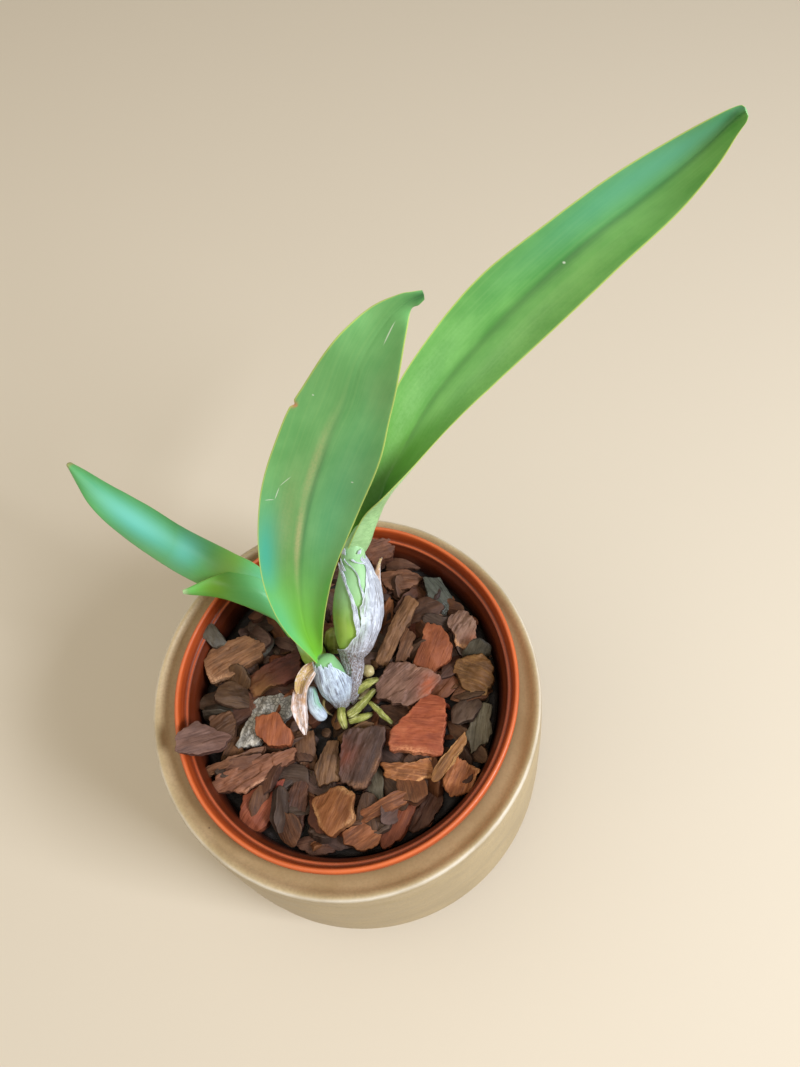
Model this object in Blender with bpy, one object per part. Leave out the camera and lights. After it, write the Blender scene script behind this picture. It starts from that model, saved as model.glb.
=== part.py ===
"""A young cattleya orchid growing in bark, in a plastic nursery pot that stands in a
turned stoneware cover pot. +Z is up and the origin is the middle of the flat underside.

Every size below is in millimetres, and MM turns it to metres. A piece is a stack of
rings carried along a path or an axis, closed at both ends. Pieces that touch are kept
GAP apart by cutting the lower one with a slightly grown copy of the one that it meets.
"""
import math

import bmesh
import bpy
import numpy as np

MM = 0.001
GAP = 0.3            # clearance left wherever two pieces meet
WELD = 0.01          # points closer than this are one point

# Stoneware cover pot
POT_HEIGHT = 108.0
RIM_RADIUS = 68.5
BELLY_SWELL = 8.6    # how far the wall would lean out at BELLY_REACH below the rim
BELLY_REACH = 166.0
SHOULDER_Z = 30.0    # below this the wall turns in to the foot
SHOULDER_CURVE = 2.4  # 2 would be a plain ellipse, and more keeps the shoulder fuller
FOOT_RADIUS = 58.0
POT_FLOOR = 6.0
POT_WALL = 6.0
OUTSIDE_HEIGHTS = (0.0, 1.5, 5, 10, 16, 23, 30, 48, 66, 84, 98, 105.5, 107.3)
LIP = [(67.8, 108.0), (65.9, 107.3), (64.6, 105.4), (63.4, 103.0), (62.4, 100.0), (62.2, 96.0)]
INSIDE_HEIGHTS = (91, 70, 48, 30, 20, 13)
FLOOR_CORNER = (9.0, 7.5)   # how far inside the outer wall the floor's corner starts, and its height
FLOOR_FLAT = 50.0
POT_SEGMENTS = 48
BED_SEGMENTS = 28

# Plastic nursery pot, a little oval because the thin rim gives
NURSERY_TOP = 112.0
INSIDE_SHIFT = (0.7, 1.3, 0.0)   # it stands this far off the cover pot's middle
NURSERY_RIM = (62.4, 59.8)
NURSERY_TURN = math.radians(58.5)
NURSERY_FOOT = 44.0
NURSERY_WALL = 1.3
NURSERY_FLOOR = 1.5
WALL_TOP = 103.0     # the plain wall ends here, under the collar
WALL_BENDS = (50, 70, 30)
COLLAR_DEPTH = 6.5
COLLAR_STEP = 3.4    # how far the wall stands inside the rim where the collar starts
COLLAR = [(3.2, 105.2), (0.9, 105.6), (0.0, 106.4), (0.0, 111.2), (0.5, 112.0), (1.8, 112.0),
          (2.3, 111.2), (2.8, 107.0), (3.2, 106.4), (4.6, 106.2)]   # inset from the rim, height
DRAIN_HOLES = 6
DRAIN_RADIUS = 4.0
DRAIN_CIRCLE = 28.0
DRAIN_PLUG = (2.0, 12.0)
HEADROOM = 140.0     # chips are trimmed by the nursery pot's inside up to this height

# Bark bed under the loose chips
BED_TOP = 97.0
BED_HEIGHTS = (50.0, 80.0, BED_TOP - 2.0, BED_TOP)
BED_INSET = 0.4
BED_RIPPLE = 0.8
RIPPLE_X = 9.0
RIPPLE_Y = 7.0

# Leaves: each row is one station, as left margin, midrib and right margin
LEAF_LONG = [
    ((6.5, 35, 146.5), (11.5, 36.5, 144), (10.5, 39.5, 147)),
    ((8, 37.5, 151), (14, 38.5, 147.5), (12, 42.5, 153)),
    ((21, 56, 173), (25, 50, 164), (29, 43, 174)),
    ((31, 68, 188), (39, 65, 178), (47, 55, 183)),
    ((46, 79, 201), (56, 76, 191), (65, 64, 193)),
    ((60, 85, 212), (72, 83, 203), (79, 69, 204)),
    ((77, 88, 224), (87, 87, 215), (93, 74, 216)),
    ((92, 90, 234), (101, 89, 226), (107, 79, 227)),
    ((106, 90, 243), (113, 89, 238), (116, 82, 239)),
    ((115, 88, 250), (119, 88, 247), (120, 83, 247)),
    ((121, 85, 253), (122, 84, 252), (122, 83, 252)),
]
LEAF_CENTRE = [
    ((-8, 4.6, 119), (-8.4, 7.2, 121), (-6, 8.2, 123)),
    ((-17, 13, 139), (-10, 15, 135), (-3, 12, 139)),
    ((-19, 23, 160), (-8, 24, 154), (3, 19, 159)),
    ((-13, 33, 188), (-1, 32, 180), (13, 25, 182)),
    ((-2, 38, 213), (9, 38, 204), (22, 28, 205)),
    ((6, 40, 226), (16, 40, 217), (26, 32, 218)),
    ((15, 40, 240), (20, 43, 230), (29, 34, 230)),
    ((24, 43, 246), (28, 43, 242), (32, 38, 242)),
    ((33, 41, 251), (34, 41, 250), (35, 40, 250)),
]
LEAF_LEFT = [
    ((-17, 22, 109), (-16, 24, 116), (-15, 30, 116)),
    ((-25, 26, 116), (-26, 32, 125), (-25, 40, 127)),
    ((-43, 34, 127), (-38, 38, 133), (-34, 45, 133)),
    ((-57, 42, 134), (-51, 45, 141), (-48, 52, 141)),
    ((-70, 52, 142), (-64, 54, 147), (-60, 60, 147)),
    ((-79, 61, 149), (-75, 64, 151), (-73, 68.5, 150)),
    ((-86, 75, 153), (-86, 76, 154), (-85, 77, 153)),
]
BRACT_LEFT = [
    ((-19, 19, 111), (-18, 22, 118), (-18, 28, 122)),
    ((-23, 23.5, 121), (-23, 30, 129), (-24, 37, 131)),
    ((-33, 27.5, 127), (-31, 32, 134), (-31, 39, 136)),
    ((-41, 30, 130), (-41, 32.5, 134), (-39.5, 35.5, 137)),
    ((-51, 31, 133.5), (-51, 31.5, 134), (-51, 32, 134.5)),
]
LEAF_THICKNESS = 2.0      # at the midrib
MARGIN_THICKNESS = 0.9
FOLD_ROUNDING = 0.15      # how far the fold is drawn towards the line between the margins
BASE_THINNING = (0.6, 0.07)   # share of the thickness at the base, full from this share of the length
LEAF_STEPS = 18
LEAF_HALF_POINTS = 4

# Bulbs and stems: each row is x, y, z and the radius there
BULB_BACK = [(-0.3, -4, 100.2, 1.6), (1.4, -0.7, 103.5, 1.8), (2.8, 4.6, 108.5, 2.6),
             (3.2, 8.8, 112.5, 3.6), (4.7, 12.8, 116.5, 6.4), (6.8, 19.6, 123.5, 8.4),
             (8, 24.8, 129.5, 8.0), (8.5, 29.6, 135.5, 6.0), (8.5, 33, 140.5, 4.4),
             (9, 34.6, 143, 3.8)]
BULB_FRONT = [(-3, -5.2, 100.5, 1.8), (-3.3, -2.6, 105, 3.4), (-4, 0.2, 109.5, 4.6),
              (-5, 3.6, 115, 4.6), (-6.2, 7, 120.5, 3.2)]
BULB_LEFT = [(-10, 9, 98, 2.6), (-11.5, 14, 104, 4.4), (-14, 19, 110, 3.4),
             (-15.5, 22, 114.5, 2.2)]
BULB_OLD = [(-4.5, 16, 98, 2.2), (-4, 19, 102, 3.6), (-3.5, 22, 106.5, 2.4)]
RHIZOME = [(-13, 8, 95, 2.6), (-7, 2, 95, 2.7), (0, -1.5, 95.5, 2.8), (6.5, 1.5, 96.8, 2.4),
           (8, 5, 97.6, 1.8)]
BUD = [(7.5, 6.5, 99.7, 0.8), (7.6, 6.4, 101.2, 1.9), (7.7, 6.2, 102.6, 1.8), (7.8, 6, 103.6, 0.7)]
ROOTS = {
    "root_front": [(-2.9, -5.2, 102.4, 1.4), (-3.2, -8.4, 103.6, 1.5), (-2.9, -11.5, 103.4, 1.6),
                   (-2.1, -14, 102, 1.4)],
    "root_right": [(-1.2, -9.3, 102, 1.4), (1.4, -8.3, 103.2, 1.5), (4.8, -5.9, 103.8, 1.5),
                   (7.5, -3.4, 104, 1.4), (9.5, -1.3, 103.5, 1.2)],
    "root_bud_side": [(1.9, -1.9, 102.6, 1.3), (4.9, -0.1, 103.8, 1.6), (8, 1.4, 103.8, 1.5),
                      (11.2, 2.5, 102.5, 1.3)],
    "root_branch": [(6.9, -5.6, 103, 0.9), (9.8, -9.1, 103.8, 1.1), (12, -11.6, 103.2, 1.1),
                    (14.5, -14.2, 102, 0.9)],
    "root_low": [(-1.4, -11, 100.6, 1.2), (1.8, -10.6, 101.4, 1.3), (4.6, -10.2, 101.4, 1.2),
                 (7.8, -9.2, 100.6, 1.1)],
}
TUBE_STEPS = 12
TUBE_SIDES = 10
BULB_STEPS = 20
BULB_SIDES = 16
BUD_STEPS = 8
BUD_SIDES = 12
END_DOME = (0.5, 0.6)   # a stem's end is drawn out by half its radius, to six tenths of it

# Husks: dry papery wraps that stand HUSK_STANDOFF off the bulb inside them. Each row is
# a share of the bulb's rows and the two ends of the wrap's arc there, in radians from
# the right-hand side round by the front
HUSK_BACK = [(0.06, -2.6, 3.3), (0.33, -2.4, 3.2), (0.44, -1.6, 1.9), (0.56, -1.3, 1.5),
             (0.68, -1.2, 1.55), (0.78, -1.1, 1.95), (0.88, -1.0, 2.6)]
HUSK_FRONT = [(0.08, -1.1, 3.9), (0.5, -0.5, 3.6), (0.75, 0.3, 3.2)]
HUSK_THICKNESS = 0.7
HUSK_STANDOFF = 0.9
HUSK_STEPS = 16
HUSK_POINTS = 11
FINE_STEPS = 61

# Free strips of dry husk: each row is x, y, z, width and the way its width points
CURL_DRY = [((-12.4, 4.2, 117.4), 3, (0.6, 0.7, 0.3)), ((-14, 1.8, 117), 5, (0.9, 0.3, 0.1)),
            ((-15.8, -1.6, 114.2), 6, (1, 0.1, 0)), ((-16.8, -5.4, 110.4), 5.5, (1, 0.1, 0)),
            ((-17.2, -8.9, 107.6), 4.5, (1, 0.2, 0)), ((-16.9, -13.6, 104.3), 2.5, (1, 0.2, 0))]
SPIKE_DRY = [((15.4, 26.4, 126), 3, (0.8, 0.5, 0)), ((15.7, 29, 130), 2.6, (0.8, 0.5, 0)),
             ((16.3, 31.6, 134), 2, (0.7, 0.6, 0)), ((17.6, 33.7, 137), 1.3, (0.7, 0.6, 0))]
STRIP_SAG = 0.25      # a strip's middle lies this share of its width below its edges
STUB = [(-12.8, 1, 109.6, 1.6), (-12.4, -2, 109, 2.3), (-11.2, -5.4, 107.7, 2.6),
        (-9.2, -8.6, 105.8, 2.3)]

# Bark chips from the top of the heap down: the corners in plan, the height of the upper
# face in the middle, its rise per millimetre along X and Y, the depth and the bark's tone
CHIPS = [
    ("rim", [(-58, -13), (-52, -8), (-42, -12), (-45, -17), (-52, -19), (-58, -18)],
     113.5, (-0.6, 0.0), 4.5, "mauve"),
    ("under_rim", [(-50, -4), (-43, -3), (-41, -8), (-42, -13), (-50, -13)],
     103.6, (0.0, 0.0), 9, "brown"),
    ("back_wall", [(12, 56), (22, 55), (21, 51), (14, 49), (11, 53)], 106, (0.0, 0.5), 12, "brown"),
    ("front", [(-6, -33), (-1, -37), (-2, -45), (-9, -49), (-13, -46), (-15, -37)],
     106, (0.1, -0.1), 8, "terracotta"),
    ("round", [(-33, -7), (-26, -6), (-22, -12), (-22, -17), (-29, -17), (-33, -12)],
     105, (-0.1, 0.1), 6, "terracotta"),
    ("brick", [(28, -5), (34, -8), (30, -27), (13, -23), (14, -17)], 105, (0.1, -0.1), 9, "terracotta"),
    ("splinter", [(39, -20), (39, -24), (28, -35), (26, -35), (27, -31)], 105, (0.1, 0.1), 5, "ochre"),
    ("slab", [(16, 8), (23, 7), (33, 0), (28, -5), (20, -8), (10, -4), (10, 1)],
     104, (0.05, -0.1), 8, "mauve"),
    ("stick_back", [(25, 33), (29, 30), (14, 8), (10, 10)], 104, (0.1, 0.1), 7, "brown"),
    ("stick_left", [(-31, -16), (-32, -19), (-55, -25), (-53, -22)], 104, (-0.1, 0.0), 4, "brown"),
    ("layered", [(-2, -15), (12, -15), (9, -26), (2, -34), (-5, -32), (-5, -24)],
     104, (0.1, 0.1), 8, "mauve"),
    ("block", [(-52, 17), (-49, 21), (-36, 25), (-30, 21), (-31, 16), (-41, 11), (-50, 9)],
     104, (0.0, 0.1), 9, "brown"),
    ("wedge", [(31, 21), (36, 19), (39, 11), (38, 7), (31, 4), (24, 7), (28, 14)],
     104, (0.0, 0.1), 9, "terracotta"),
    ("ragged", [(-2, -43), (14, -37), (18, -38), (16, -41), (2, -45)], 104, (0.1, 0.1), 6, "ochre"),
    ("red", [(-38, 9), (-25, 14), (-17, 16), (-18, 9), (-25, 5), (-34, 3)], 103, (0.0, 0.1), 8, "terracotta"),
    ("long", [(-20, -18), (-21, -22), (-38, -31), (-49, -29), (-48, -25), (-31, -20)],
     103, (-0.1, 0.0), 8, "brown"),
    ("ochre_right", [(40, 5), (49, 7), (53, 1), (49, -7), (44, -7), (38, 2)], 103, (0.1, 0.1), 8, "ochre"),
    ("pink", [(39, 23), (46, 24), (49, 18), (47, 9), (40, 13)], 103, (0.0, 0.2), 8, "mauve"),
    ("nugget", [(35, -28), (42, -33), (37, -39), (31, -40), (30, -36)], 103, (0.0, 0.1), 8, "ochre"),
    ("lichen", [(-34, 1), (-21, 1), (-21, -5), (-34, -15), (-42, -15), (-37, -6)],
     102, (0.0, 0.1), 8, "grey"),
    ("crumbly", [(9, -27), (17, -28), (29, -28), (29, -31), (20, -35), (10, -32)],
     102, (0.0, 0.1), 8, "ochre"),
    ("under_layered", [(-9, -17), (-5, -17), (-6, -30), (-13, -32), (-14, -26)],
     102, (-0.1, 0.1), 8, "brown"),
    ("small_brown", [(22, 22), (26, 18), (23, 10), (18, 9)], 102, (0.0, 0.1), 8, "brown"),
    ("low_left", [(-39, -32), (-25, -28), (-26, -38), (-35, -44), (-40, -41)],
     101, (-0.1, 0.1), 8, "terracotta"),
    ("wet", [(32, 40), (38, 40), (42, 31), (38, 24), (33, 30)], 101, (-0.1, 0.2), 8, "grey"),
    ("flat_back", [(16, 45), (26, 45), (31, 41), (26, 37), (19, 37), (16, 41)],
     101, (0.0, 0.1), 8, "brown"),
    ("plain_front", [(-6, -48), (6, -44), (9, -45), (5, -53), (0, -54), (-6, -51)],
     101, (0.0, -0.1), 8, "ochre"),
    ("upright", [(-20, -12), (-14, -12), (-14, -22), (-17, -26), (-20, -21)], 100, (0.1, 0.1), 7, "brown"),
    ("orange_front", [(14, -40), (20, -41), (13, -51), (7, -54), (6, -51)], 100, (0.1, 0.0), 8, "terracotta"),
    ("grey_right", [(45, -10), (50, -11), (47, -23), (40, -27), (40, -20)], 100, (0.2, 0.0), 8, "grey"),
    ("olive", [(-51, 29), (-48, 30), (-43, 22), (-48, 22), (-51, 25)], 107, (-0.2, 0.2), 13, "grey"),
    ("dark_front", [(24, -37), (29, -38), (27, -45), (18, -50), (15, -48)], 99, (0.1, -0.1), 7, "brown"),
    ("beside_bulb", [(16, 36), (19, 33), (17, 22), (13, 21)], 99, (0.0, 0.1), 7, "terracotta"),
    ("far_back", [(18, 52), (28, 50), (33, 47), (29, 46), (19, 48)], 99, (0.0, 0.1), 7, "brown"),
    ("dark_stick", [(-19, -27), (-17, -31), (-20, -44), (-25, -47), (-28, -43), (-24, -32)],
     99, (0.0, 0.1), 7, "brown"),
    ("dark_left", [(-53, 1), (-48, 8), (-38, 6), (-42, 2), (-52, -2)], 98, (0.0, 0.1), 6, "mauve"),
    ("front_edge", [(-24, -48), (-8, -48), (-10, -53), (-17, -53)], 98, (0.0, 0.0), 6, "brown"),
]
CHIP_SHRINK = 0.4     # taken off each side of a chip's outline
CHIP_CHAMFER = 1.2    # how far its upper and lower edges are broken in
CORNER_GROWTH = 1.3   # a corner moves this much further out than the sides beside it

# Colours as linear red, green, blue, with roughness
FINISHES = {
    "stoneware": ((0.47, 0.43, 0.31), 0.45),
    "plastic": ((0.56, 0.10, 0.03), 0.40),
    "leaf": ((0.10, 0.29, 0.09), 0.35),
    "bulb": ((0.24, 0.36, 0.07), 0.40),
    "husk": ((0.55, 0.53, 0.48), 0.70),
    "dry_husk": ((0.48, 0.34, 0.22), 0.75),
    "root": ((0.22, 0.26, 0.06), 0.65),
    "bark_terracotta": ((0.30, 0.08, 0.03), 0.80),
    "bark_mauve": ((0.17, 0.10, 0.08), 0.80),
    "bark_brown": ((0.11, 0.05, 0.03), 0.85),
    "bark_ochre": ((0.22, 0.10, 0.03), 0.80),
    "bark_grey": ((0.20, 0.17, 0.13), 0.75),
    "bark_dark": ((0.03, 0.015, 0.01), 0.90),
}


def finish(name):
    """Return the Principled material of that name, made once."""
    material = bpy.data.materials.get(name)
    if material is None:
        colour, roughness = FINISHES[name]
        material = bpy.data.materials.new(name)
        material.use_nodes = True
        shader = material.node_tree.nodes["Principled BSDF"]
        shader.inputs["Base Color"].default_value = (*colour, 1.0)
        shader.inputs["Roughness"].default_value = roughness
        shader.inputs["Metallic"].default_value = 0.0
    return material


def solid(rings, shift=INSIDE_SHIFT):
    """Close a stack of equal rings, given in millimetres, into one mesh: quads between
    one ring and the next, and a flat cap on the first and the last."""
    rings = (np.asarray(rings, dtype=float) + np.array(shift)) * MM
    count, around = rings.shape[:2]
    index = np.arange(count * around).reshape(count, around)
    beside = np.roll(index, -1, axis=1)
    sides = np.stack([index[:-1], beside[:-1], beside[1:], index[1:]], axis=-1).reshape(-1, 4)
    faces = [tuple(map(int, face)) for face in sides]
    faces.append(tuple(map(int, index[0, ::-1])))
    faces.append(tuple(map(int, index[-1])))
    mesh = bpy.data.meshes.new("rings")
    mesh.from_pydata([tuple(point) for point in rings.reshape(-1, 3)], [], faces)
    return tidy(mesh)


def tidy(mesh):
    """Weld, drop stray islands but the largest, split into triangles and face outwards."""
    work = bmesh.new()
    work.from_mesh(mesh)
    bmesh.ops.remove_doubles(work, verts=work.verts, dist=WELD * MM)
    bmesh.ops.dissolve_degenerate(work, dist=WELD * MM, edges=work.edges)
    keep_largest_island(work)
    bmesh.ops.triangulate(work, faces=work.faces)
    bmesh.ops.recalc_face_normals(work, faces=work.faces)
    work.to_mesh(mesh)
    work.free()
    mesh.shade_smooth()
    mesh.set_sharp_from_angle(angle=math.radians(40))
    return mesh


def keep_largest_island(work):
    """Delete every connected island of faces but the one with the most area."""
    unseen = set(work.faces)
    islands = []
    while unseen:
        stack = [unseen.pop()]
        island = []
        while stack:
            face = stack.pop()
            island.append(face)
            for edge in face.edges:
                for other in edge.link_faces:
                    if other in unseen:
                        unseen.remove(other)
                        stack.append(other)
        islands.append(island)
    islands.sort(key=lambda island: -sum(face.calc_area() for face in island))
    for island in islands[1:]:
        bmesh.ops.delete(work, geom=island, context="FACES")
    loose = [vert for vert in work.verts if not vert.link_faces]
    bmesh.ops.delete(work, geom=loose, context="VERTS")


def smooth_path(points, steps):
    """Catmull-Rom curve through the rows of points, read at steps even parameters."""
    points = np.asarray(points, dtype=float)
    padded = np.vstack([2 * points[0] - points[1], points, 2 * points[-1] - points[-2]])
    place = np.linspace(0, len(points) - 1, steps)
    start = np.minimum(place.astype(int), len(points) - 2)
    part = (place - start)[:, None]
    a, b, c, d = (padded[start + offset] for offset in range(4))
    return 0.5 * (2 * b + (c - a) * part + (2 * a - 5 * b + 4 * c - d) * part ** 2
                  + (3 * b - a - 3 * c + d) * part ** 3)


def unit(vectors):
    """Scale each row to length one."""
    return vectors / np.linalg.norm(vectors, axis=-1, keepdims=True)


def frames(path):
    """Tangent, side and up at each point of a path: side lies level where it can."""
    tangent = unit(np.gradient(path, axis=0))
    level = np.array([0.0, 0.0, 1.0])
    side = np.cross(tangent, level)
    flat = np.linalg.norm(side, axis=1) < 0.05
    side[flat] = (1.0, 0.0, 0.0)
    side = unit(side)
    return tangent, side, np.cross(side, tangent)


def tube_rings(rows, grow=0.0, steps=TUBE_STEPS, sides=TUBE_SIDES):
    """A round stem: a circle carried along the path, with the radius of each row, and
    drawn out by grow at both ends."""
    curve = smooth_path(rows, steps)
    path, radius = curve[:, :3], curve[:, 3] + grow
    tangent, side, up = frames(path)
    path[0] -= tangent[0] * grow
    path[-1] += tangent[-1] * grow
    turn = np.linspace(0, 2 * np.pi, sides, endpoint=False)
    ring = side[:, None] * np.cos(turn)[None, :, None] + up[:, None] * np.sin(turn)[None, :, None]
    rings = path[:, None] + ring * radius[:, None, None]
    rise, narrow = END_DOME
    ends = [path[0] - tangent[0] * radius[0] * rise + ring[0] * radius[0] * narrow,
            path[-1] + tangent[-1] * radius[-1] * rise + ring[-1] * radius[-1] * narrow]
    return np.concatenate([ends[:1], rings, ends[1:]])


def leaf_rings(stations, grow=0.0):
    """A leaf blade: straight flanks from the midrib to both margins, rounded at the
    fold, with the thickness falling from the midrib to the margin."""
    rails = smooth_path(np.asarray(stations, dtype=float).reshape(len(stations), 9), LEAF_STEPS)
    left, middle, right = rails[:, 0:3], rails[:, 3:6], rails[:, 6:9]
    across = np.linspace(-1, 1, 2 * LEAF_HALF_POINTS + 1)
    reach = np.abs(across)[None, :, None]
    margin = np.where((across < 0)[None, :, None], left[:, None], right[:, None])
    soften = FOLD_ROUNDING * (1 - reach) ** 4
    centre = (left + right)[:, None] / 2
    blade = middle[:, None] * (1 - reach) + margin * reach
    blade = blade + (centre - blade) * soften
    along = unit(np.gradient(middle, axis=0))
    normal = unit(np.cross(along[:, None], np.gradient(blade, axis=1)))
    thickness = MARGIN_THICKNESS + (LEAF_THICKNESS - MARGIN_THICKNESS) * (1 - reach) ** 1.5
    thinned, full_at = BASE_THINNING
    rise = np.linspace(0, 1, LEAF_STEPS) / full_at
    taper = np.clip(thinned + rise * (1 - thinned), 0, 1)[:, None, None]
    half = thickness * taper / 2 + grow
    upper = blade + normal * half
    lower = (blade - normal * half)[:, ::-1]
    return np.concatenate([upper, lower], axis=1)


def husk_rings(rows, wrap, grow=0.0):
    """A dry wrap round a bulb: an arc of the bulb's own section, HUSK_STANDOFF outside
    it, with the ends of the arc read from the rows of the wrap."""
    share, start, end = np.array(wrap).T
    fine = smooth_path(rows, FINE_STEPS)
    reading = np.linspace(share[0], share[-1], HUSK_STEPS)
    curve = fine[(reading * (FINE_STEPS - 1)).astype(int)]
    path = curve[:, :3]
    radius = curve[:, 3] + HUSK_STANDOFF
    _, side, up = frames(path)
    arc_start = np.interp(reading, share, start)
    arc_end = np.interp(reading, share, end)
    turn = arc_start[:, None] + (arc_end - arc_start)[:, None] * np.linspace(0, 1, HUSK_POINTS)
    ring = side[:, None] * np.cos(turn)[..., None] + up[:, None] * np.sin(turn)[..., None]
    inner = path[:, None] + ring * (radius[:, None, None] - grow)
    outer = path[:, None] + ring * (radius[:, None, None] + HUSK_THICKNESS + grow)
    return np.concatenate([outer, inner[:, ::-1]], axis=1)


def strip_rings(rows, grow=0.0):
    """A free strip of dry husk: a shallow trough of the given width along the path."""
    packed = [(*place, width, *way) for place, width, way in rows]
    curve = smooth_path(packed, HUSK_STEPS)
    path, width, way = curve[:, :3], curve[:, 3], unit(curve[:, 4:7])
    tangent = unit(np.gradient(path, axis=0))
    way = unit(way - tangent * np.sum(way * tangent, axis=1, keepdims=True))
    face = np.cross(tangent, way)
    across = np.linspace(-1, 1, HUSK_POINTS)
    sag = STRIP_SAG * (across ** 2 - 1)
    middle = (path[:, None] + way[:, None] * (across[None, :, None] * width[:, None, None] / 2)
              + face[:, None] * (sag[None, :, None] * width[:, None, None]))
    half = HUSK_THICKNESS / 2 + grow
    return np.concatenate([middle + face[:, None] * half, (middle - face[:, None] * half)[:, ::-1]], axis=1)


def oval(scale_x, scale_y, turn, sides):
    """Points of an oval whose long axis is turned from +X."""
    angle = np.linspace(0, 2 * np.pi, sides, endpoint=False)
    x, y = scale_x * np.cos(angle - turn), scale_y * np.sin(angle - turn)
    return np.stack([x * math.cos(turn) - y * math.sin(turn),
                     x * math.sin(turn) + y * math.cos(turn)], axis=1)


def level_rings(profile, sides=POT_SEGMENTS):
    """Rings at the heights of a profile of (x radius, y radius, z), turned as the
    nursery pot is."""
    rings = []
    for radius_x, radius_y, z in profile:
        ring = oval(radius_x, radius_y, NURSERY_TURN, sides)
        rings.append(np.column_stack([ring, np.full(sides, z)]))
    return rings


def wall_radius(z):
    """Outer radius of the cover pot: the belly's parabola, then a quarter of an ellipse
    that turns in to the foot."""
    depth = POT_HEIGHT - max(z, SHOULDER_Z)
    radius = RIM_RADIUS + BELLY_SWELL * (1 - (1 - depth / BELLY_REACH) ** 2)
    if z < SHOULDER_Z:
        drop = (SHOULDER_Z - z) / SHOULDER_Z
        radius -= (radius - FOOT_RADIUS) * (1 - math.sqrt(1 - drop ** SHOULDER_CURVE))
    return radius


def cover_pot_rings():
    """The cover pot's section: up the outside, over the sloping lip, down the inside."""
    outside = [(wall_radius(z), z) for z in OUTSIDE_HEIGHTS]
    inside = [(wall_radius(z) - POT_WALL, z) for z in INSIDE_HEIGHTS]
    inset, corner_z = FLOOR_CORNER
    floor = [(wall_radius(corner_z) - inset, corner_z), (FLOOR_FLAT, POT_FLOOR)]
    return level_rings([(radius, radius, z) for radius, z in outside + LIP + inside + floor])


def nursery_offset(z):
    """How far the nursery pot's outer wall lies inside its rim at height z."""
    top = NURSERY_TOP - COLLAR_DEPTH
    average = sum(NURSERY_RIM) / 2
    lean = (average - COLLAR_STEP - NURSERY_FOOT) / (top - POT_FLOOR - GAP)
    return COLLAR_STEP + lean * (top - z)


def nursery_profile():
    """The nursery pot's section: outside wall, flared collar, rolled top, step, inside."""
    base = POT_FLOOR + GAP
    outer = [(nursery_offset(z), z) for z in (base, WALL_BENDS[0], WALL_TOP)]
    inner = [(nursery_offset(z) + NURSERY_WALL, z) for z in (WALL_TOP, *WALL_BENDS[1:])]
    floor = [(nursery_offset(base + NURSERY_FLOOR) + NURSERY_WALL, base + NURSERY_FLOOR)]
    return outer + COLLAR + inner + floor


def nursery_rings():
    """Rings of the nursery pot, oval at the rim and round at the foot."""
    profile = []
    for offset, z in nursery_profile():
        give = (z - POT_FLOOR) / (NURSERY_TOP - POT_FLOOR)
        average = sum(NURSERY_RIM) / 2
        spread = (NURSERY_RIM[0] - average) * give
        profile.append((average + spread - offset, average - spread - offset, z))
    return level_rings(profile)


def filling_rings(heights, inset):
    """A plug that fills the nursery pot's inside at the heights, inset from its wall."""
    profile = []
    average = sum(NURSERY_RIM) / 2
    for z in heights:
        level = min(z, WALL_TOP)
        give = (level - POT_FLOOR) / (NURSERY_TOP - POT_FLOOR)
        spread = (NURSERY_RIM[0] - average) * give
        reach = average - nursery_offset(level) - NURSERY_WALL - inset
        profile.append((reach + spread, reach - spread, z))
    return level_rings(profile, BED_SEGMENTS)


def bed_rings():
    """The packed bark under the loose chips, gently humped on top."""
    base = POT_FLOOR + GAP + NURSERY_FLOOR + GAP
    rings = filling_rings([base, *BED_HEIGHTS], BED_INSET)
    edge = rings[-1]
    average = np.mean(edge, axis=0)
    for share in (0.75, 0.5, 0.25):
        ring = average + (edge - average) * share
        ring[:, 2] += BED_RIPPLE * np.sin(ring[:, 0] / RIPPLE_X) * np.cos(ring[:, 1] / RIPPLE_Y)
        rings.append(ring)
    return rings


def chip_rings(corners, top, slope, depth, grow=0.0):
    """A flake of bark: its plan outline on a sloping upper face, with both edges broken
    in by CHIP_CHAMFER, and drawn down by its depth."""
    corners = np.asarray(corners, dtype=float)
    centre = corners.mean(axis=0)
    reach = np.linalg.norm(corners - centre, axis=1, keepdims=True)
    away = (corners - centre) / reach
    levels = [(top + grow, CHIP_CHAMFER), (top - CHIP_CHAMFER, 0.0),
              (top - depth + CHIP_CHAMFER, 0.0), (top - depth - grow, CHIP_CHAMFER)]
    rings = []
    for z, inset in levels:
        plan = centre + away * (reach - CHIP_SHRINK - inset + grow * CORNER_GROWTH)
        rise = (plan - centre) @ np.array(slope)
        rings.append(np.column_stack([plan, z + rise]))
    return rings


def place(name, mesh, material):
    """Put a mesh into the scene as the object of that name."""
    mesh.name = name
    mesh.materials.clear()
    mesh.materials.append(finish(material))
    piece = bpy.data.objects.new(name, mesh)
    bpy.context.scene.collection.objects.link(piece)
    return piece


def boxes_meet(first, second):
    """Whether the bounding boxes of two meshes meet."""
    ends = []
    for mesh in (first, second):
        points = np.empty(len(mesh.vertices) * 3)
        mesh.vertices.foreach_get("co", points)
        points = points.reshape(-1, 3)
        ends.append((points.min(axis=0), points.max(axis=0)))
    (low_a, high_a), (low_b, high_b) = ends
    return bool(np.all(low_a < high_b) and np.all(low_b < high_a))


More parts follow.
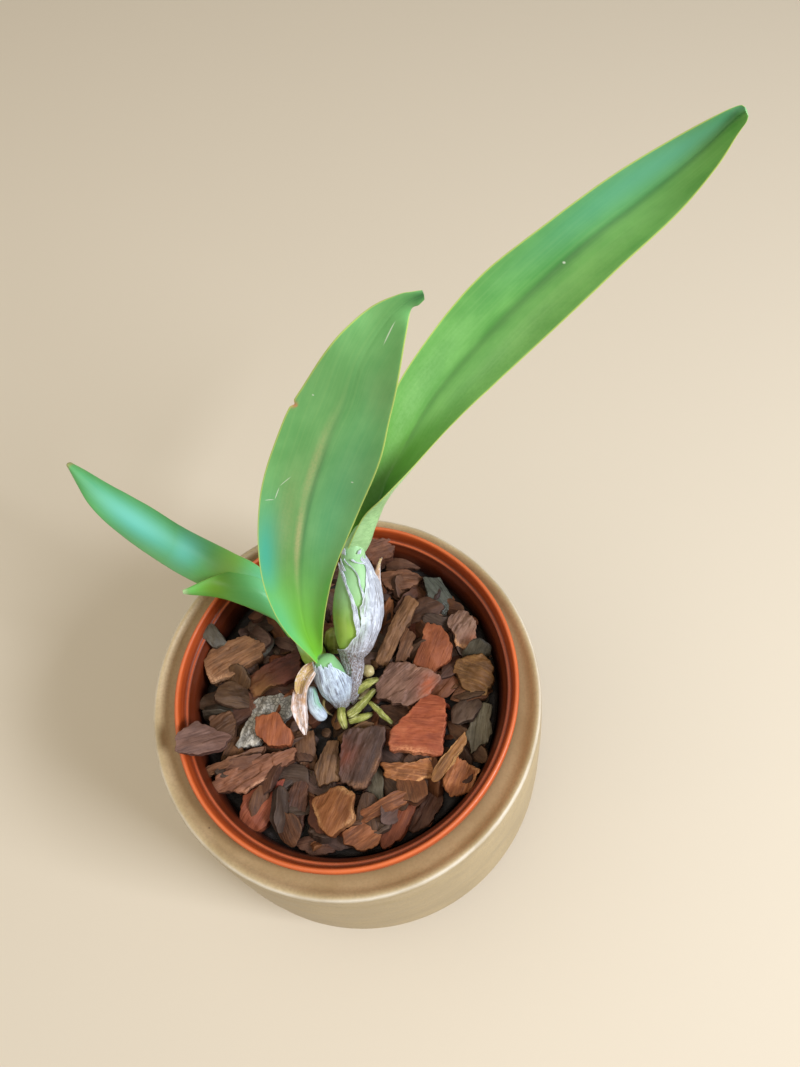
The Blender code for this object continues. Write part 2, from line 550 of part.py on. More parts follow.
def cut(mesh, cutters, operation="DIFFERENCE"):
    """Return the mesh after an exact Boolean with each cutter that it meets."""
    piece = bpy.data.objects.new("being_cut", mesh)
    bpy.context.scene.collection.objects.link(piece)
    for cutter in cutters:
        if operation == "DIFFERENCE" and not boxes_meet(piece.data, cutter):
            continue
        tool = bpy.data.objects.new("cutter", cutter)
        tool.hide_render = True
        tool.display_type = "WIRE"
        bpy.context.scene.collection.objects.link(tool)
        change = piece.modifiers.new("cut", "BOOLEAN")
        change.operation = operation
        change.object = tool
        change.solver = "EXACT"
        change.use_self = True
        view = bpy.context.evaluated_depsgraph_get()
        result = bpy.data.meshes.new_from_object(piece.evaluated_get(view))
        piece.modifiers.clear()
        piece.data = tidy(result)
        bpy.data.objects.remove(tool)
    result = piece.data
    bpy.data.objects.remove(piece)
    return result


def drain_holes():
    """Upright plugs on a circle, to drill the nursery pot's floor."""
    plugs = []
    for number in range(DRAIN_HOLES):
        angle = 2 * math.pi * number / DRAIN_HOLES
        centre = DRAIN_CIRCLE * np.array([math.cos(angle), math.sin(angle)])
        ring = centre + oval(DRAIN_RADIUS, DRAIN_RADIUS, 0.0, TUBE_SIDES)
        plugs.append(solid([np.column_stack([ring, np.full(TUBE_SIDES, z)]) for z in DRAIN_PLUG]))
    return plugs


def plant_pieces():
    """Name, ring function and finish of each part of the plant, from the one that keeps
    its whole shape to the one that gives way to all the others."""
    pieces = [
        ("pseudobulb_back", lambda grow: tube_rings(BULB_BACK, grow, BULB_STEPS, BULB_SIDES), "bulb"),
        ("pseudobulb_front", lambda grow: tube_rings(BULB_FRONT, grow, BULB_STEPS, BULB_SIDES), "bulb"),
        ("pseudobulb_left", lambda grow: tube_rings(BULB_LEFT, grow), "bulb"),
        ("pseudobulb_old", lambda grow: tube_rings(BULB_OLD, grow), "bulb"),
        ("leaf_long", lambda grow: leaf_rings(LEAF_LONG, grow), "leaf"),
        ("leaf_centre", lambda grow: leaf_rings(LEAF_CENTRE, grow), "leaf"),
        ("leaf_left", lambda grow: leaf_rings(LEAF_LEFT, grow), "leaf"),
        ("leaf_left_bract", lambda grow: leaf_rings(BRACT_LEFT, grow), "leaf"),
        ("husk_back", lambda grow: husk_rings(BULB_BACK, HUSK_BACK, grow), "husk"),
        ("husk_front", lambda grow: husk_rings(BULB_FRONT, HUSK_FRONT, grow), "husk"),
        ("husk_stub", lambda grow: tube_rings(STUB, grow), "husk"),
        ("husk_curl", lambda grow: strip_rings(CURL_DRY, grow), "dry_husk"),
        ("husk_spike", lambda grow: strip_rings(SPIKE_DRY, grow), "dry_husk"),
        ("new_bud", lambda grow: tube_rings(BUD, grow, BUD_STEPS, BUD_SIDES), "bulb"),
    ]
    for name, rows in ROOTS.items():
        pieces.append((name, lambda grow, rows=rows: tube_rings(rows, grow), "root"))
    pieces.append(("rhizome", lambda grow: tube_rings(RHIZOME, grow), "root"))
    return pieces


def chip_pieces():
    """Name, ring function and finish of each bark chip, from the top of the heap down."""
    pieces = []
    for name, corners, top, slope, depth, tone in CHIPS:
        pieces.append((f"bark_{name}",
                       lambda grow, row=(corners, top, slope, depth): chip_rings(*row, grow),
                       f"bark_{tone}"))
    return pieces


def build():
    """Make every piece, each one cut back from those that come before it."""
    for old in list(bpy.data.objects):
        bpy.data.objects.remove(old)
    place("cover_pot", solid(cover_pot_rings(), (0.0, 0.0, 0.0)), "stoneware")
    place("nursery_pot", cut(solid(nursery_rings()), drain_holes()), "plastic")
    grown_pot = solid(filling_rings([POT_FLOOR, WALL_TOP, HEADROOM], GAP))
    grown = []
    for name, rings, material in plant_pieces():
        place(name, cut(solid(rings(0.0)), grown), material)
        grown.append(solid(rings(GAP)))
    for name, rings, material in chip_pieces():
        mesh = cut(solid(rings(0.0)), grown)
        if name != "bark_rim":
            mesh = cut(mesh, [grown_pot], "INTERSECT")
        place(name, mesh, material)
        grown.append(solid(rings(GAP)))
    place("bark_bed", cut(solid(bed_rings()), grown), "bark_dark")


build()
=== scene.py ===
"""The looks of a young cattleya orchid: three waxy leaves on short bulbs with papery husks,
rooted in pine bark chips, in an injection moulded nursery pot that stands in a glazed
stoneware cover pot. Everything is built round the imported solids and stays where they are.

Sizes are in millimetres and MM turns them to metres. A piece is a skin over a stack of
rings, each ring worked out with numpy as a function of its place along and around.
"""

import math

import bpy
import numpy as np
from mathutils import Matrix, Vector


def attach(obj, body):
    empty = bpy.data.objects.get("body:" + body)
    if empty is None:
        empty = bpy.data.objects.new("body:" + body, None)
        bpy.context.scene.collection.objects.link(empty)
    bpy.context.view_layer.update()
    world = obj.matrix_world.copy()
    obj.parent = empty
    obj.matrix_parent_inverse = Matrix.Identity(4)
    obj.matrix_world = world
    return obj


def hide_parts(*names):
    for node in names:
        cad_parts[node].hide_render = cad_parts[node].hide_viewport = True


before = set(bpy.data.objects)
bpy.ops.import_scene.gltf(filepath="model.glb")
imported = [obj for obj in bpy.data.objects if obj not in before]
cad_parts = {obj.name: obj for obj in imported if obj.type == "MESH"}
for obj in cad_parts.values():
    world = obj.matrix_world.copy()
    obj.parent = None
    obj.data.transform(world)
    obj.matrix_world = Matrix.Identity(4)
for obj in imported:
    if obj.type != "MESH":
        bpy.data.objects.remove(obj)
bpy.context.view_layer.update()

MM = 0.001
INSIDE_SHIFT = np.array([0.7, 1.3, 0.0])   # the nursery pot and all in it stand this far off centre
UP_FACE = np.array([0.0, -0.35, 1.0])      # the leaves' upper faces look this way

# Camera: held above the front of the pot, for a picture 800 pixels wide and 1067 high
PICTURE_HEIGHT = 1067
FOCAL_PIXELS = 800
SENSOR_HEIGHT = 36.0                       # along the picture's longer side, which is upright
CAMERA_PLACE = (25.8, -83.0, 382.0)
CAMERA_TILT = math.radians(27.3)           # off straight down, towards the back
CAMERA_ROLL = math.radians(-7.0)

# Stoneware cover pot. The belly swells by BELLY_SWELL over BELLY_REACH below the rim, and
# below SHOULDER_Z the wall turns in to the foot. The lip is listed as radius and height.
POT_HEIGHT = 108.0
RIM_RADIUS = 68.5
BELLY_SWELL = 8.6
BELLY_REACH = 166.0
SHOULDER_Z = 30.0
SHOULDER_CURVE = 2.4
FOOT_RADIUS = 58.0
POT_FLOOR = 6.0
POT_WALL = 6.0
POT_SIDES = 288
WALL_TOP = 105.6
LIP = [(68.45, 106.6), (68.3, 107.4), (67.8, 107.9), (67.1, 107.9), (66.3, 107.4), (65.5, 106.6),
       (64.8, 105.7), (64.2, 105.05), (63.4, 104.55), (62.5, 104.2), (61.7, 103.6), (61.2, 102.6),
       (61.1, 101.2), (61.4, 99.5), (62.2, 96.0)]
LIP_NARROWEST = 61.1
LIP_CREST = 67.5                           # radius where the lip is highest
LIP_BOTTOM = 94.0                          # the lip's inner side ends above this height
# EDGE_RADIUS is also where the painted highlight on the lip's outer edge lies
EDGE_RADIUS = 68.2                         # where the glaze ran thin over the outer edge
LIP_GAP = 0.7                              # from the lip's inner edge to the nursery pot

# Nursery pot: a slightly oval rim, given by its two radii and how far the longer one is
# turned from +X. The collar and the step inside it are listed as how far inside the rim
# they lie, and height.
NURSERY_TOP = 112.0
NURSERY_RIM = (62.4, 59.8)
NURSERY_MEAN = sum(NURSERY_RIM) / 2
NURSERY_WIDER = NURSERY_RIM[0] - NURSERY_MEAN
NURSERY_TURN = math.radians(58.5)
NURSERY_FOOT = 44.0
NURSERY_WALL = 1.3
COLLAR_DEPTH = 6.5
COLLAR_STEP = 3.4
NURSERY_SIDES = 320
SOLID_GAP = 0.3                            # left wherever two solids meet
COLLAR = [(3.3, 103.8), (2.9, 104.8), (1.6, 105.3), (0.6, 105.6), (0.1, 106.3), (0.0, 108.2),
          (0.0, 110.3), (0.08, 111.1), (0.35, 111.7), (0.85, 112.0), (1.25, 111.9), (1.55, 111.5),
          (1.75, 110.8), (1.9, 109.8), (2.05, 108.4), (2.3, 107.1), (2.7, 106.5), (3.1, 106.4),
          (3.4, 106.75), (3.65, 106.8), (3.85, 106.4), (4.0, 105.4)]
BED_TOP = 95.2

# Leaves: each row is one station, as left margin, midrib and right margin, then how far
# the flanks sag below a straight line from midrib to margin
LEAF_LONG = [
    ((6.4, 39.6, 144.6), (13, 35.6, 141.4), (5.6, 32.6, 141.6), 0.0),
    ((7.8, 42, 151.4), (14.6, 37.2, 147.8), (8.8, 35.2, 149.4), 0.1),
    ((11.5, 46, 159.5), (18.6, 41.6, 155), (14.2, 38.6, 158.5), 0.4),
    ((16.3, 51.2, 166.5), (22.2, 46.3, 160), (20.9, 39.2, 167.5), 0.7),
    ((21, 56, 173), (25, 50, 164), (29, 43, 174), 0.9),
    ((31, 68, 188), (39, 65, 178), (47, 55, 183), 1.0),
    ((46, 79, 201), (56, 76, 191), (65, 64, 193), 0.9),
    ((60, 85, 212), (72, 83, 203), (79, 69, 204), 0.7),
    ((77, 88, 224), (87, 87, 215), (93, 74, 216), 0.5),
    ((92, 90, 234), (101, 89, 226), (107, 79, 227), 0.4),
    ((106, 90, 243), (113, 89, 238), (116, 82, 239), 0.2),
    ((115, 88, 250), (119, 88, 247), (119.4, 83.4, 247), 0.1),
    ((119.2, 87.2, 252.4), (120.3, 86.1, 250.8), (120.9, 84.0, 249.9), 0.0),
    ((120.3, 86.2, 252.6), (120.7, 85.5, 251.9), (121.2, 84.6, 251.1), 0.0),
]
LEAF_CENTRE = [
    ((-8, 4.6, 119), (-8.4, 7.2, 121), (-6, 8.2, 123), 0.0),
    ((-17, 13, 139), (-10, 15, 135), (-3, 12, 139), 0.7),
    ((-19, 23, 160), (-8, 24, 154), (3, 19, 159), 1.1),
    ((-13, 33, 188), (-1, 32, 180), (13, 25, 182), 0.9),
    ((-2, 38, 213), (9, 38, 204), (22, 28, 205), 0.5),
    ((6, 40, 226), (16, 40, 217), (26, 32, 218), 0.3),
    ((15, 40, 240), (20, 43, 230), (29, 34, 230), 0.1),
    ((24, 43, 246), (28, 43, 242), (32, 38, 242), 0.0),
    ((31, 42.8, 249.6), (32.4, 42, 247.6), (33.6, 41, 246.2), 0.0),
    ((34.2, 42.4, 250.4), (35, 41.9, 249), (35.4, 40.9, 247.6), 0.0),
    ((36.4, 42.5, 250.4), (36.8, 41.9, 249.6), (36.7, 41.1, 248.8), 0.0),
]
LEAF_LEFT = [
    ((-17, 22, 109), (-16, 24, 116), (-15, 30, 116), 0.0),
    ((-25, 26, 116), (-26, 32, 125), (-25, 40, 127), 0.0),
    ((-43, 34, 127), (-38, 38, 133), (-34, 45, 133), 0.0),
    ((-57, 42, 134), (-51, 45, 141), (-48, 52, 141), 0.0),
    ((-70, 52, 142), (-64, 54, 147), (-60, 60, 147), 0.0),
    ((-79, 61, 149), (-75, 64, 151), (-73, 68.5, 150), 0.0),
    ((-86, 75, 153), (-86, 76, 154), (-85, 77, 153), 0.0),
]
BRACT_LEFT = [
    ((-19, 19, 111), (-18, 22, 117.5), (-18, 28, 117), 0.0),
    ((-23, 23.5, 120.5), (-23.4, 30, 126.2), (-25, 37, 124.6), 0.0),
    ((-33, 27.5, 127), (-31.6, 32.7, 131.2), (-32.1, 39.6, 129.2), 0.0),
    ((-41, 30, 130), (-41, 32.2, 134), (-39.8, 35, 136), 0.0),
    ((-51, 31, 133.5), (-51, 31.5, 134), (-51, 32, 134.5), 0.0),
]
LEAF_THICKNESS = 2.0
MARGIN_THICKNESS = 0.9
LEAF_STEPS = 240
LEAF_ACROSS = 65
FOLDED = 0.3            # a small number folds the blade sharply at its midrib,
SHALLOW = 0.9           # one near 1 gives it a soft fold,
ARCHED = 1.3            # and a large one bends it evenly from margin to margin

# Soft patches of a blade: painted_sheen is a painted turquoise sheen and painted light, pale and
# deep are paler and darker colours, in places painted light and shade. Each row is the kind, the
# middle across from -1 to 1, its reach, the middle along from 0 to 1, its reach, how strong it is,
# and how far its middle moves across for each unit along
LONG_WASHES = [
    # Long blade: painted sheen by the tip, painted shade in the fold down the midrib, and a darker
    # foot
    ("painted_sheen", -0.6, 0.5, 0.86, 0.22, 0.75, 0.0), ("pale", -0.55, 0.45, 0.3, 0.2, 0.22, 0.0),
    ("pale", 0.75, 0.35, 0.45, 0.3, 0.2, 0.0), ("deep", 0.06, 0.14, 0.6, 0.5, 0.6, 0.0),
    ("deep", 0.1, 1.3, 0.1, 0.11, 0.95, 0.0),
]
CENTRE_WASHES = [
    # Centre blade: painted sheen low on the left flank and by its margin, painted light on the
    # right flank, a pale speckled streak by the midrib that is partly painted sheen, a dark line
    # beside the midrib, and painted shade on the curled tip
    ("painted_sheen", -0.82, 0.3, 0.3, 0.11, 0.95, 0.2), ("painted_sheen", -0.9, 0.5, 0.12, 0.1, 0.5, 0.0),
    ("painted_sheen", 0.55, 0.5, 0.45, 0.28, 0.25, 0.0),
    ("pale", -0.07, 0.07, 0.36, 0.11, 1.0, -0.25), ("pale", -0.12, 0.09, 0.55, 0.13, 0.6, -0.2),
    ("pale", -0.4, 0.22, 0.4, 0.12, 0.3, 0.0),
    ("deep", 0.02, 0.05, 0.48, 0.24, 0.6, -0.3), ("deep", 0.0, 0.9, 1.0, 0.03, 1.0, 0.0),
]
LEFT_WASHES = [
    # Left blade: painted sheen along its middle, painted light at its foot from painted_sheen and
    # pale, and a painted shadow band across it, cast by the centre blade
    ("painted_sheen", 0.0, 0.66, 0.66, 0.22, 1.0, 0.0), ("painted_sheen", 0.1, 0.8, 0.47, 0.07, 0.9, 0.0),
    ("painted_sheen", 0.1, 1.0, 0.12, 0.1, 0.7, 0.0), ("deep", 0.0, 1.4, 0.31, 0.07, 1.0, 0.0),
    ("pale", 0.1, 1.4, 0.13, 0.14, 0.6, 0.0),
]
BRACT_WASHES = [
    # Bract: painted shadow over its outer half, cast by the centre blade, painted light at its
    # foot, and its pale tip
    ("deep", 0.0, 1.4, 0.73, 0.16, 0.95, 0.0), ("painted_sheen", 0.2, 1.0, 0.3, 0.2, 0.95, 0.0),
    ("pale", 0.0, 1.4, 1.0, 0.04, 0.7, 0.0),
]

# Thin pale scratches on a blade: across and along in millimetres, turn, length and width
CENTRE_SCUFFS = [
    ((2.2, 133.4), math.radians(97), 9.6, 0.36), ((-11, 64.9), math.radians(17), 3.4, 0.34),
    ((-9.3, 68), math.radians(85), 5.8, 0.34), ((-7.9, 73.5), math.radians(65), 6.6, 0.26),
    ((9.4, 81), 0.0, 0.8, 0.7), ((-8.6, 105.5), 0.0, 0.7, 0.5),
]
LONG_SCUFFS = [((0.9, 112.2), 0.0, 1.3, 0.9)]

# Bulbs and stems: each row is x, y, z and the radius there
BULB_BACK = [(-0.3, -4, 100.2, 1.6), (1.4, -0.7, 103.5, 1.8), (2.8, 4.6, 108.5, 2.6),
             (3.2, 8.8, 112.5, 3.6), (4.7, 12.8, 116.5, 6.4), (6.8, 19.6, 123.5, 8.4),
             (8, 24.8, 129.5, 8.0), (8.5, 29.6, 135.5, 6.0), (8.5, 33, 140.5, 4.4),
             (9, 34.6, 143, 3.8)]
LEAF_STALK = [(9.9, 36.7, 145.6, 2.7), (11.2, 38.9, 148.4, 1.6), (12.3, 40.6, 150.6, 0.7)]
WRAPPED = BULB_BACK + LEAF_STALK[:2]       # what the back bulb's dry wraps go round
BULB_FRONT = [(-3, -5.2, 100.5, 1.2), (-3.3, -2.6, 105, 2.9), (-4, 0.2, 109.5, 4.6),
              (-5, 3.6, 115, 4.6), (-6.2, 7, 120.5, 3.2)]
BULB_LEFT = [(-10, 9, 98, 2.6), (-11.5, 14, 104, 4.4), (-14, 19, 110, 3.4),
             (-15.5, 22, 114.5, 2.2)]
BULB_OLD = [(-4.5, 16, 98, 2.2), (-4, 19, 102, 3.6), (-3.5, 22, 106.5, 2.4)]
RHIZOME = [(-13, 8, 95, 2.6), (-7, 2, 95, 2.7), (0, -1.5, 95.5, 2.8), (6.5, 1.5, 96.8, 2.4),
           (8, 5, 97.6, 1.8)]
BUD = [(7.5, 6.5, 99.7, 0.9), (7.5, 6.3, 101.1, 2.2), (7.5, 6, 102.6, 2.1), (7.5, 5.8, 103.7, 0.8)]
ROOTS = {
    "root_front": [(-2.9, -5.2, 102.4, 1.4), (-3.2, -8.4, 103.6, 1.5), (-2.9, -11.5, 103.4, 1.6),
                   (-2.1, -14, 102, 1.4)],
    "root_right": [(-1.2, -9.3, 102, 1.4), (1.4, -8.3, 103.2, 1.5), (4.8, -5.9, 103.8, 1.5),
                   (7.5, -3.4, 104, 1.4), (9.5, -1.3, 103.5, 1.2)],
    "root_bud_side": [(1.9, -1.9, 102.6, 1.3), (4.9, -0.1, 103.8, 1.6), (8, 1.4, 103.8, 1.5),
                      (11.2, 2.5, 102.5, 1.3)],
    "root_branch": [(6.9, -5.6, 103, 0.9), (9.8, -9.1, 103.8, 1.1), (12, -11.6, 103.2, 1.1),
                    (14.5, -14.2, 102, 0.9)],
    "root_low": [(-1.4, -11, 100.6, 1.2), (1.8, -10.6, 101.4, 1.3), (4.6, -10.2, 101.4, 1.2),
                 (7.8, -9.2, 100.6, 1.1)],
}
STUB = [(-12.3, 0.6, 109.6, 1.5), (-12.3, -2.7, 109, 2.0), (-11.9, -5.7, 108, 2.3),
        (-10.5, -8.4, 106.8, 2.3), (-8.4, -10.4, 105.6, 1.9)]

# Dry wraps: each row is a share of the bulb's length and the angles where the wrap starts
# and ends there: 0 is right, a quarter turn is the front and half a turn is left
HUSK_BACK = [(0.015, -2.6, 3.4), (0.16, -2.5, 3.25), (0.27, -2.4, 3.2), (0.36, -1.6, 1.75),
             (0.44, -1.3, 1.25), (0.52, -1.2, 1.3), (0.6, -1.1, 1.15), (0.68, -1.0, 0.8),
             (0.76, -0.8, 0.7)]
HUSK_FRONT = [(0.06, -1.1, 3.9), (0.25, -0.7, 3.9), (0.45, -0.1, 3.9), (0.65, 0.55, 3.8),
              (0.82, 0.95, 3.6), (0.95, 1.3, 3.2)]
STRANDS = [
    [(0.42, 1.2, 1.34), (0.5, 1.34, 1.48), (0.58, 1.64, 1.78), (0.66, 2.2, 2.32),
     (0.72, 2.8, 2.88)],
    [(0.44, 1.3, 1.4), (0.54, 1.55, 1.64), (0.63, 1.95, 2.03), (0.72, 2.5, 2.56)],
    [(0.5, 1.05, 1.14), (0.6, 1.2, 1.28), (0.7, 1.5, 1.55), (0.78, 1.9, 1.94)],
    [(0.72, 0.6, 0.72), (0.77, 0.9, 1.1), (0.8, 1.3, 1.42)],
    [(0.7, 2.1, 2.35), (0.73, 2.2, 2.4), (0.76, 2.3, 2.36)],
    [(0.845, 0.75, 1.0), (0.865, 0.65, 0.95), (0.88, 0.6, 0.7)],
    [(0.82, 1.9, 2.3), (0.84, 1.95, 2.35), (0.86, 2.1, 2.2)],
]
HUSK_REACH = 6.0            # the radius that turns an angle into millimetres round the wrap
HUSK_STEPS = 130
HUSK_POINTS = 96
NO_GREEN = (9, 9, 0)        # a share of the length and an angle that are never reached
STRIP_THICKNESS = 0.25
STRIP_TROUGH = 0.28         # how deep it is for its width
STRIP_STEPS = 110
STRIP_POINTS = 41

# Free strips of dry husk: each row is x, y, z, width and the way its width points
CURL_TOP = [
    ((-7.6, 5.8, 117.8), 1.4, (0.3, -0.9, -0.2)), ((-10, 4.6, 118.4), 3.4, (0.45, -0.85, -0.1)),
    ((-12.4, 3, 118.5), 4.6, (0.6, -0.75, -0.1)), ((-14.2, 0.9, 117.6), 4.8, (0.85, -0.45, 0)),
    ((-15.3, -1.3, 115.9), 3.9, (1, -0.2, 0)), ((-15.8, -3.2, 114), 2.2, (1, 0, 0)),
]
CURL_DRY = [
    ((-13.4, 0.3, 115.9), 2.4, (0.8, -0.5, 0)), ((-15.4, -1.9, 114.6), 4.6, (0.95, -0.2, 0)),
    ((-16.6, -4.8, 111.8), 5.4, (1, 0, 0)), ((-16.9, -8.1, 109), 5.2, (1, 0.1, 0)),
    ((-16.5, -11.5, 106.6), 3.8, (1, 0.2, 0)), ((-16.2, -14.9, 104.6), 0.9, (1, 0.2, 0)),
]
CURL_EDGE = [
    ((-7.9, 4.8, 118.9), 0.8, (0.6, 0.6, 0)), ((-10.4, 1.2, 118.6), 1.1, (0.9, 0.3, 0)),
    ((-12.9, -1.6, 116.8), 1.1, (1, 0.2, 0)), ((-14.1, -4.4, 114.6), 1.1, (1, 0, 0)),
    ((-14.6, -7, 112.2), 1.0, (1, 0, 0)), ((-14.9, -10, 109.6), 0.9, (1, 0, 0)),
    ((-15.2, -13.3, 106.6), 0.7, (1, 0, 0)),
]
SPIKE_DRY = [((15.3, 26.1, 126), 2.2, (0.8, 0.5, 0)), ((15.6, 29.3, 129.5), 1.9, (0.9, 0.3, 0)),
             ((16.1, 32, 133), 1.8, (0.8, 0.4, 0)), ((17.6, 34, 136.6), 1.2, (0.6, 0.7, 0))]
HOOK = [(-5.4, -3.4, 105.6, 0.3), (-8, -3, 105.4, 0.45), (-9.1, -4.9, 105, 0.5),
        (-8.4, -7.3, 104.4, 0.45), (-6.1, -9.2, 103.8, 0.3)]

# Bark chips from the top of the heap down: corners in plan, height of the upper face, its
# rise per millimetre along X and Y, depth, bark tone, the way its grain runs in degrees
# from +X, and how the face broke: smooth, flaky, stringy or crumbly
CHIPS = [
    ("rim", [(-58, -13), (-52, -8), (-42, -12), (-45, -17), (-52, -19), (-58, -18)],
     113.5, (-0.6, 0.0), 4.5, "mauve", 20, "smooth"),
    ("under_rim", [(-50, -4), (-43, -3), (-41, -8), (-42, -13), (-50, -13)],
     103.6, (0.0, 0.0), 9, "brown", 30, "stringy"),
    ("back_wall", [(12, 56), (22, 55), (21, 51), (14, 49), (11, 53)],
     106, (0.0, 0.5), 12, "brown", 10, "flaky"),
    ("front", [(-6, -33), (-1, -37), (-2, -45), (-9, -49), (-13, -46), (-15, -37)],
     106, (0.1, -0.1), 8, "terracotta", 60, "smooth"),
    ("round", [(-33, -7), (-26, -6), (-22, -12), (-22, -17), (-29, -17), (-33, -12)],
     105, (-0.1, 0.1), 6, "terracotta", 80, "smooth"),
    ("brick", [(28, -5), (34, -8), (30, -27), (13, -23), (14, -17)],
     105, (0.1, -0.1), 9, "terracotta", -12, "smooth"),
    ("splinter", [(39, -20), (39, -24), (28, -35), (26, -35), (27, -31)],
     105, (0.1, 0.1), 5, "ochre", 47, "stringy"),
    ("slab", [(16, 8), (23, 7), (33, 0), (28, -5), (20, -8), (10, -4), (10, 1)],
     104, (0.05, -0.1), 8, "mauve", 35, "flaky"),
    ("stick_back", [(25, 33), (29, 30), (14, 8), (10, 10)],
     104, (0.1, 0.1), 7, "brown", 57, "stringy"),
    ("stick_left", [(-31, -16), (-32, -19), (-55, -25), (-53, -22)],
     104, (-0.1, 0.0), 4, "brown", 17, "stringy"),
    ("layered", [(-2, -15), (12, -15), (9, -26), (2, -34), (-5, -32), (-5, -24)],
     104, (0.1, 0.1), 8, "mauve", 62, "flaky"),
    ("block", [(-52, 17), (-49, 21), (-36, 25), (-30, 21), (-31, 16), (-41, 11), (-50, 9)],
     104, (0.0, 0.1), 9, "brown", 25, "flaky"),
    ("wedge", [(31, 21), (36, 19), (39, 11), (38, 7), (31, 4), (24, 7), (28, 14)],
     104, (0.0, 0.1), 9, "terracotta", 60, "smooth"),
    ("ragged", [(-2, -43), (14, -37), (18, -38), (16, -41), (2, -45)],
     104, (0.1, 0.1), 6, "ochre", 18, "stringy"),
    ("red", [(-38, 9), (-25, 14), (-17, 16), (-18, 9), (-25, 5), (-34, 3)],
     103, (0.0, 0.1), 8, "terracotta", 25, "flaky"),
    ("long", [(-20, -18), (-21, -22), (-38, -31), (-49, -29), (-48, -25), (-31, -20)],
     103, (-0.1, 0.0), 8, "brown", 22, "flaky"),
    ("ochre_right", [(40, 5), (49, 7), (53, 1), (49, -7), (44, -7), (38, 2)],
     103, (0.1, 0.1), 8, "ochre", -30, "crumbly"),
    ("pink", [(39, 23), (46, 24), (49, 18), (47, 9), (40, 13)],
     103, (0.0, 0.2), 8, "mauve", 50, "crumbly"),
    ("nugget", [(35, -28), (42, -33), (37, -39), (31, -40), (30, -36)],
     103, (0.0, 0.1), 8, "ochre", 60, "crumbly"),
    ("lichen", [(-34, 1), (-21, 1), (-21, -5), (-34, -15), (-42, -15), (-37, -6)],
     102, (0.0, 0.1), 8, "grey", 60, "crumbly"),
    ("crumbly", [(9, -27), (17, -28), (29, -28), (29, -31), (20, -35), (10, -32)],
     102, (0.0, 0.1), 8, "ochre", -15, "crumbly"),
    ("under_layered", [(-9, -17), (-5, -17), (-6, -30), (-13, -32), (-14, -26)],
     102, (-0.1, 0.1), 8, "brown", 75, "stringy"),
    ("small_brown", [(22, 22), (26, 18), (23, 10), (18, 9)],
     102, (0.0, 0.1), 8, "brown", 60, "smooth"),
    ("low_left", [(-39, -32), (-25, -28), (-26, -38), (-35, -44), (-40, -41)],
     101, (-0.1, 0.1), 8, "terracotta", 50, "smooth"),
    ("wet", [(32, 40), (38, 40), (42, 31), (38, 24), (33, 30)],
     101, (-0.1, 0.2), 8, "grey", -60, "smooth"),
    ("flat_back", [(16, 45), (26, 45), (31, 41), (26, 37), (19, 37), (16, 41)],
     101, (0.0, 0.1), 8, "brown", -5, "flaky"),
    ("plain_front", [(-6, -48), (6, -44), (9, -45), (5, -53), (0, -54), (-6, -51)],
     101, (0.0, -0.1), 8, "ochre", 30, "smooth"),
    ("upright", [(-20, -12), (-14, -12), (-14, -22), (-17, -26), (-20, -21)],
     100, (0.1, 0.1), 7, "brown", 90, "smooth"),
    ("orange_front", [(14, -40), (20, -41), (13, -51), (7, -54), (6, -51)],
     100, (0.1, 0.0), 8, "terracotta", 60, "smooth"),
    ("grey_right", [(45, -10), (50, -11), (47, -23), (40, -27), (40, -20)],
     100, (0.2, 0.0), 8, "grey", 75, "smooth"),
    ("olive", [(-51, 29), (-48, 30), (-43, 22), (-48, 22), (-51, 25)],
     107, (-0.2, 0.2), 13, "grey", 120, "smooth"),
    ("dark_front", [(24, -37), (29, -38), (27, -45), (18, -50), (15, -48)],
     99, (0.1, -0.1), 7, "brown", 55, "flaky"),
    ("beside_bulb", [(16, 36), (19, 33), (17, 22), (13, 21)],
     99, (0.0, 0.1), 7, "terracotta", 80, "crumbly"),
    ("far_back", [(18, 52), (28, 50), (33, 47), (29, 46), (19, 48)],
     99, (0.0, 0.1), 7, "brown", -12, "smooth"),
    ("dark_stick", [(-19, -27), (-17, -31), (-20, -44), (-25, -47), (-28, -43), (-24, -32)],
     99, (0.0, 0.1), 7, "brown", 70, "stringy"),
    ("dark_left", [(-53, 1), (-48, 8), (-38, 6), (-42, 2), (-52, -2)],
     98, (0.0, 0.1), 6, "mauve", 25, "flaky"),
    ("front_edge", [(-24, -48), (-8, -48), (-10, -53), (-17, -53)],
     98, (0.0, 0.0), 6, "brown", 5, "smooth"),
]

# How bright each chip is against its tone, partly painted shade and light for how much
# light falls on it, where a second colour shows and where its edge is freshly torn: places
# in plan and how far each reaches
CHIP_VALUE = {
    "rim": 0.45, "under_rim": 0.2, "front": 0.4, "round": 0.66, "brick": 0.85, "splinter": 0.6,
    "slab": 0.66, "stick_back": 0.65, "stick_left": 0.6, "layered": 0.0, "block": 1.0, "wedge": 0.5,
    "red": 0.05, "long": 0.75, "ochre_right": 0.22, "pink": 0.8, "nugget": 1.0, "lichen": 0.9,
    "crumbly": 0.95, "under_layered": 0.35, "small_brown": 0.5, "low_left": 0.45, "wet": 0.3,
    "flat_back": 0.45, "plain_front": 0.6, "upright": 0.3, "orange_front": 0.3, "grey_right": 0.5,
    "olive": 0.0, "dark_front": 0.05, "beside_bulb": 0.3, "far_back": 0.25, "dark_stick": 0.1,
    "dark_left": 0.05, "front_edge": 0.1,
}
PLAIN_VALUE = 0.5
CHIP_PATCHES = {
    "red": (-33, 4, 6), "slab": (29, -3, 4.5), "layered": (-4, -22, 5), "low_left": (-27, -30, 6),
    "dark_stick": (-22, -44, 5), "pink": (48, 10, 4), "plain_front": (8, -47, 3),
}
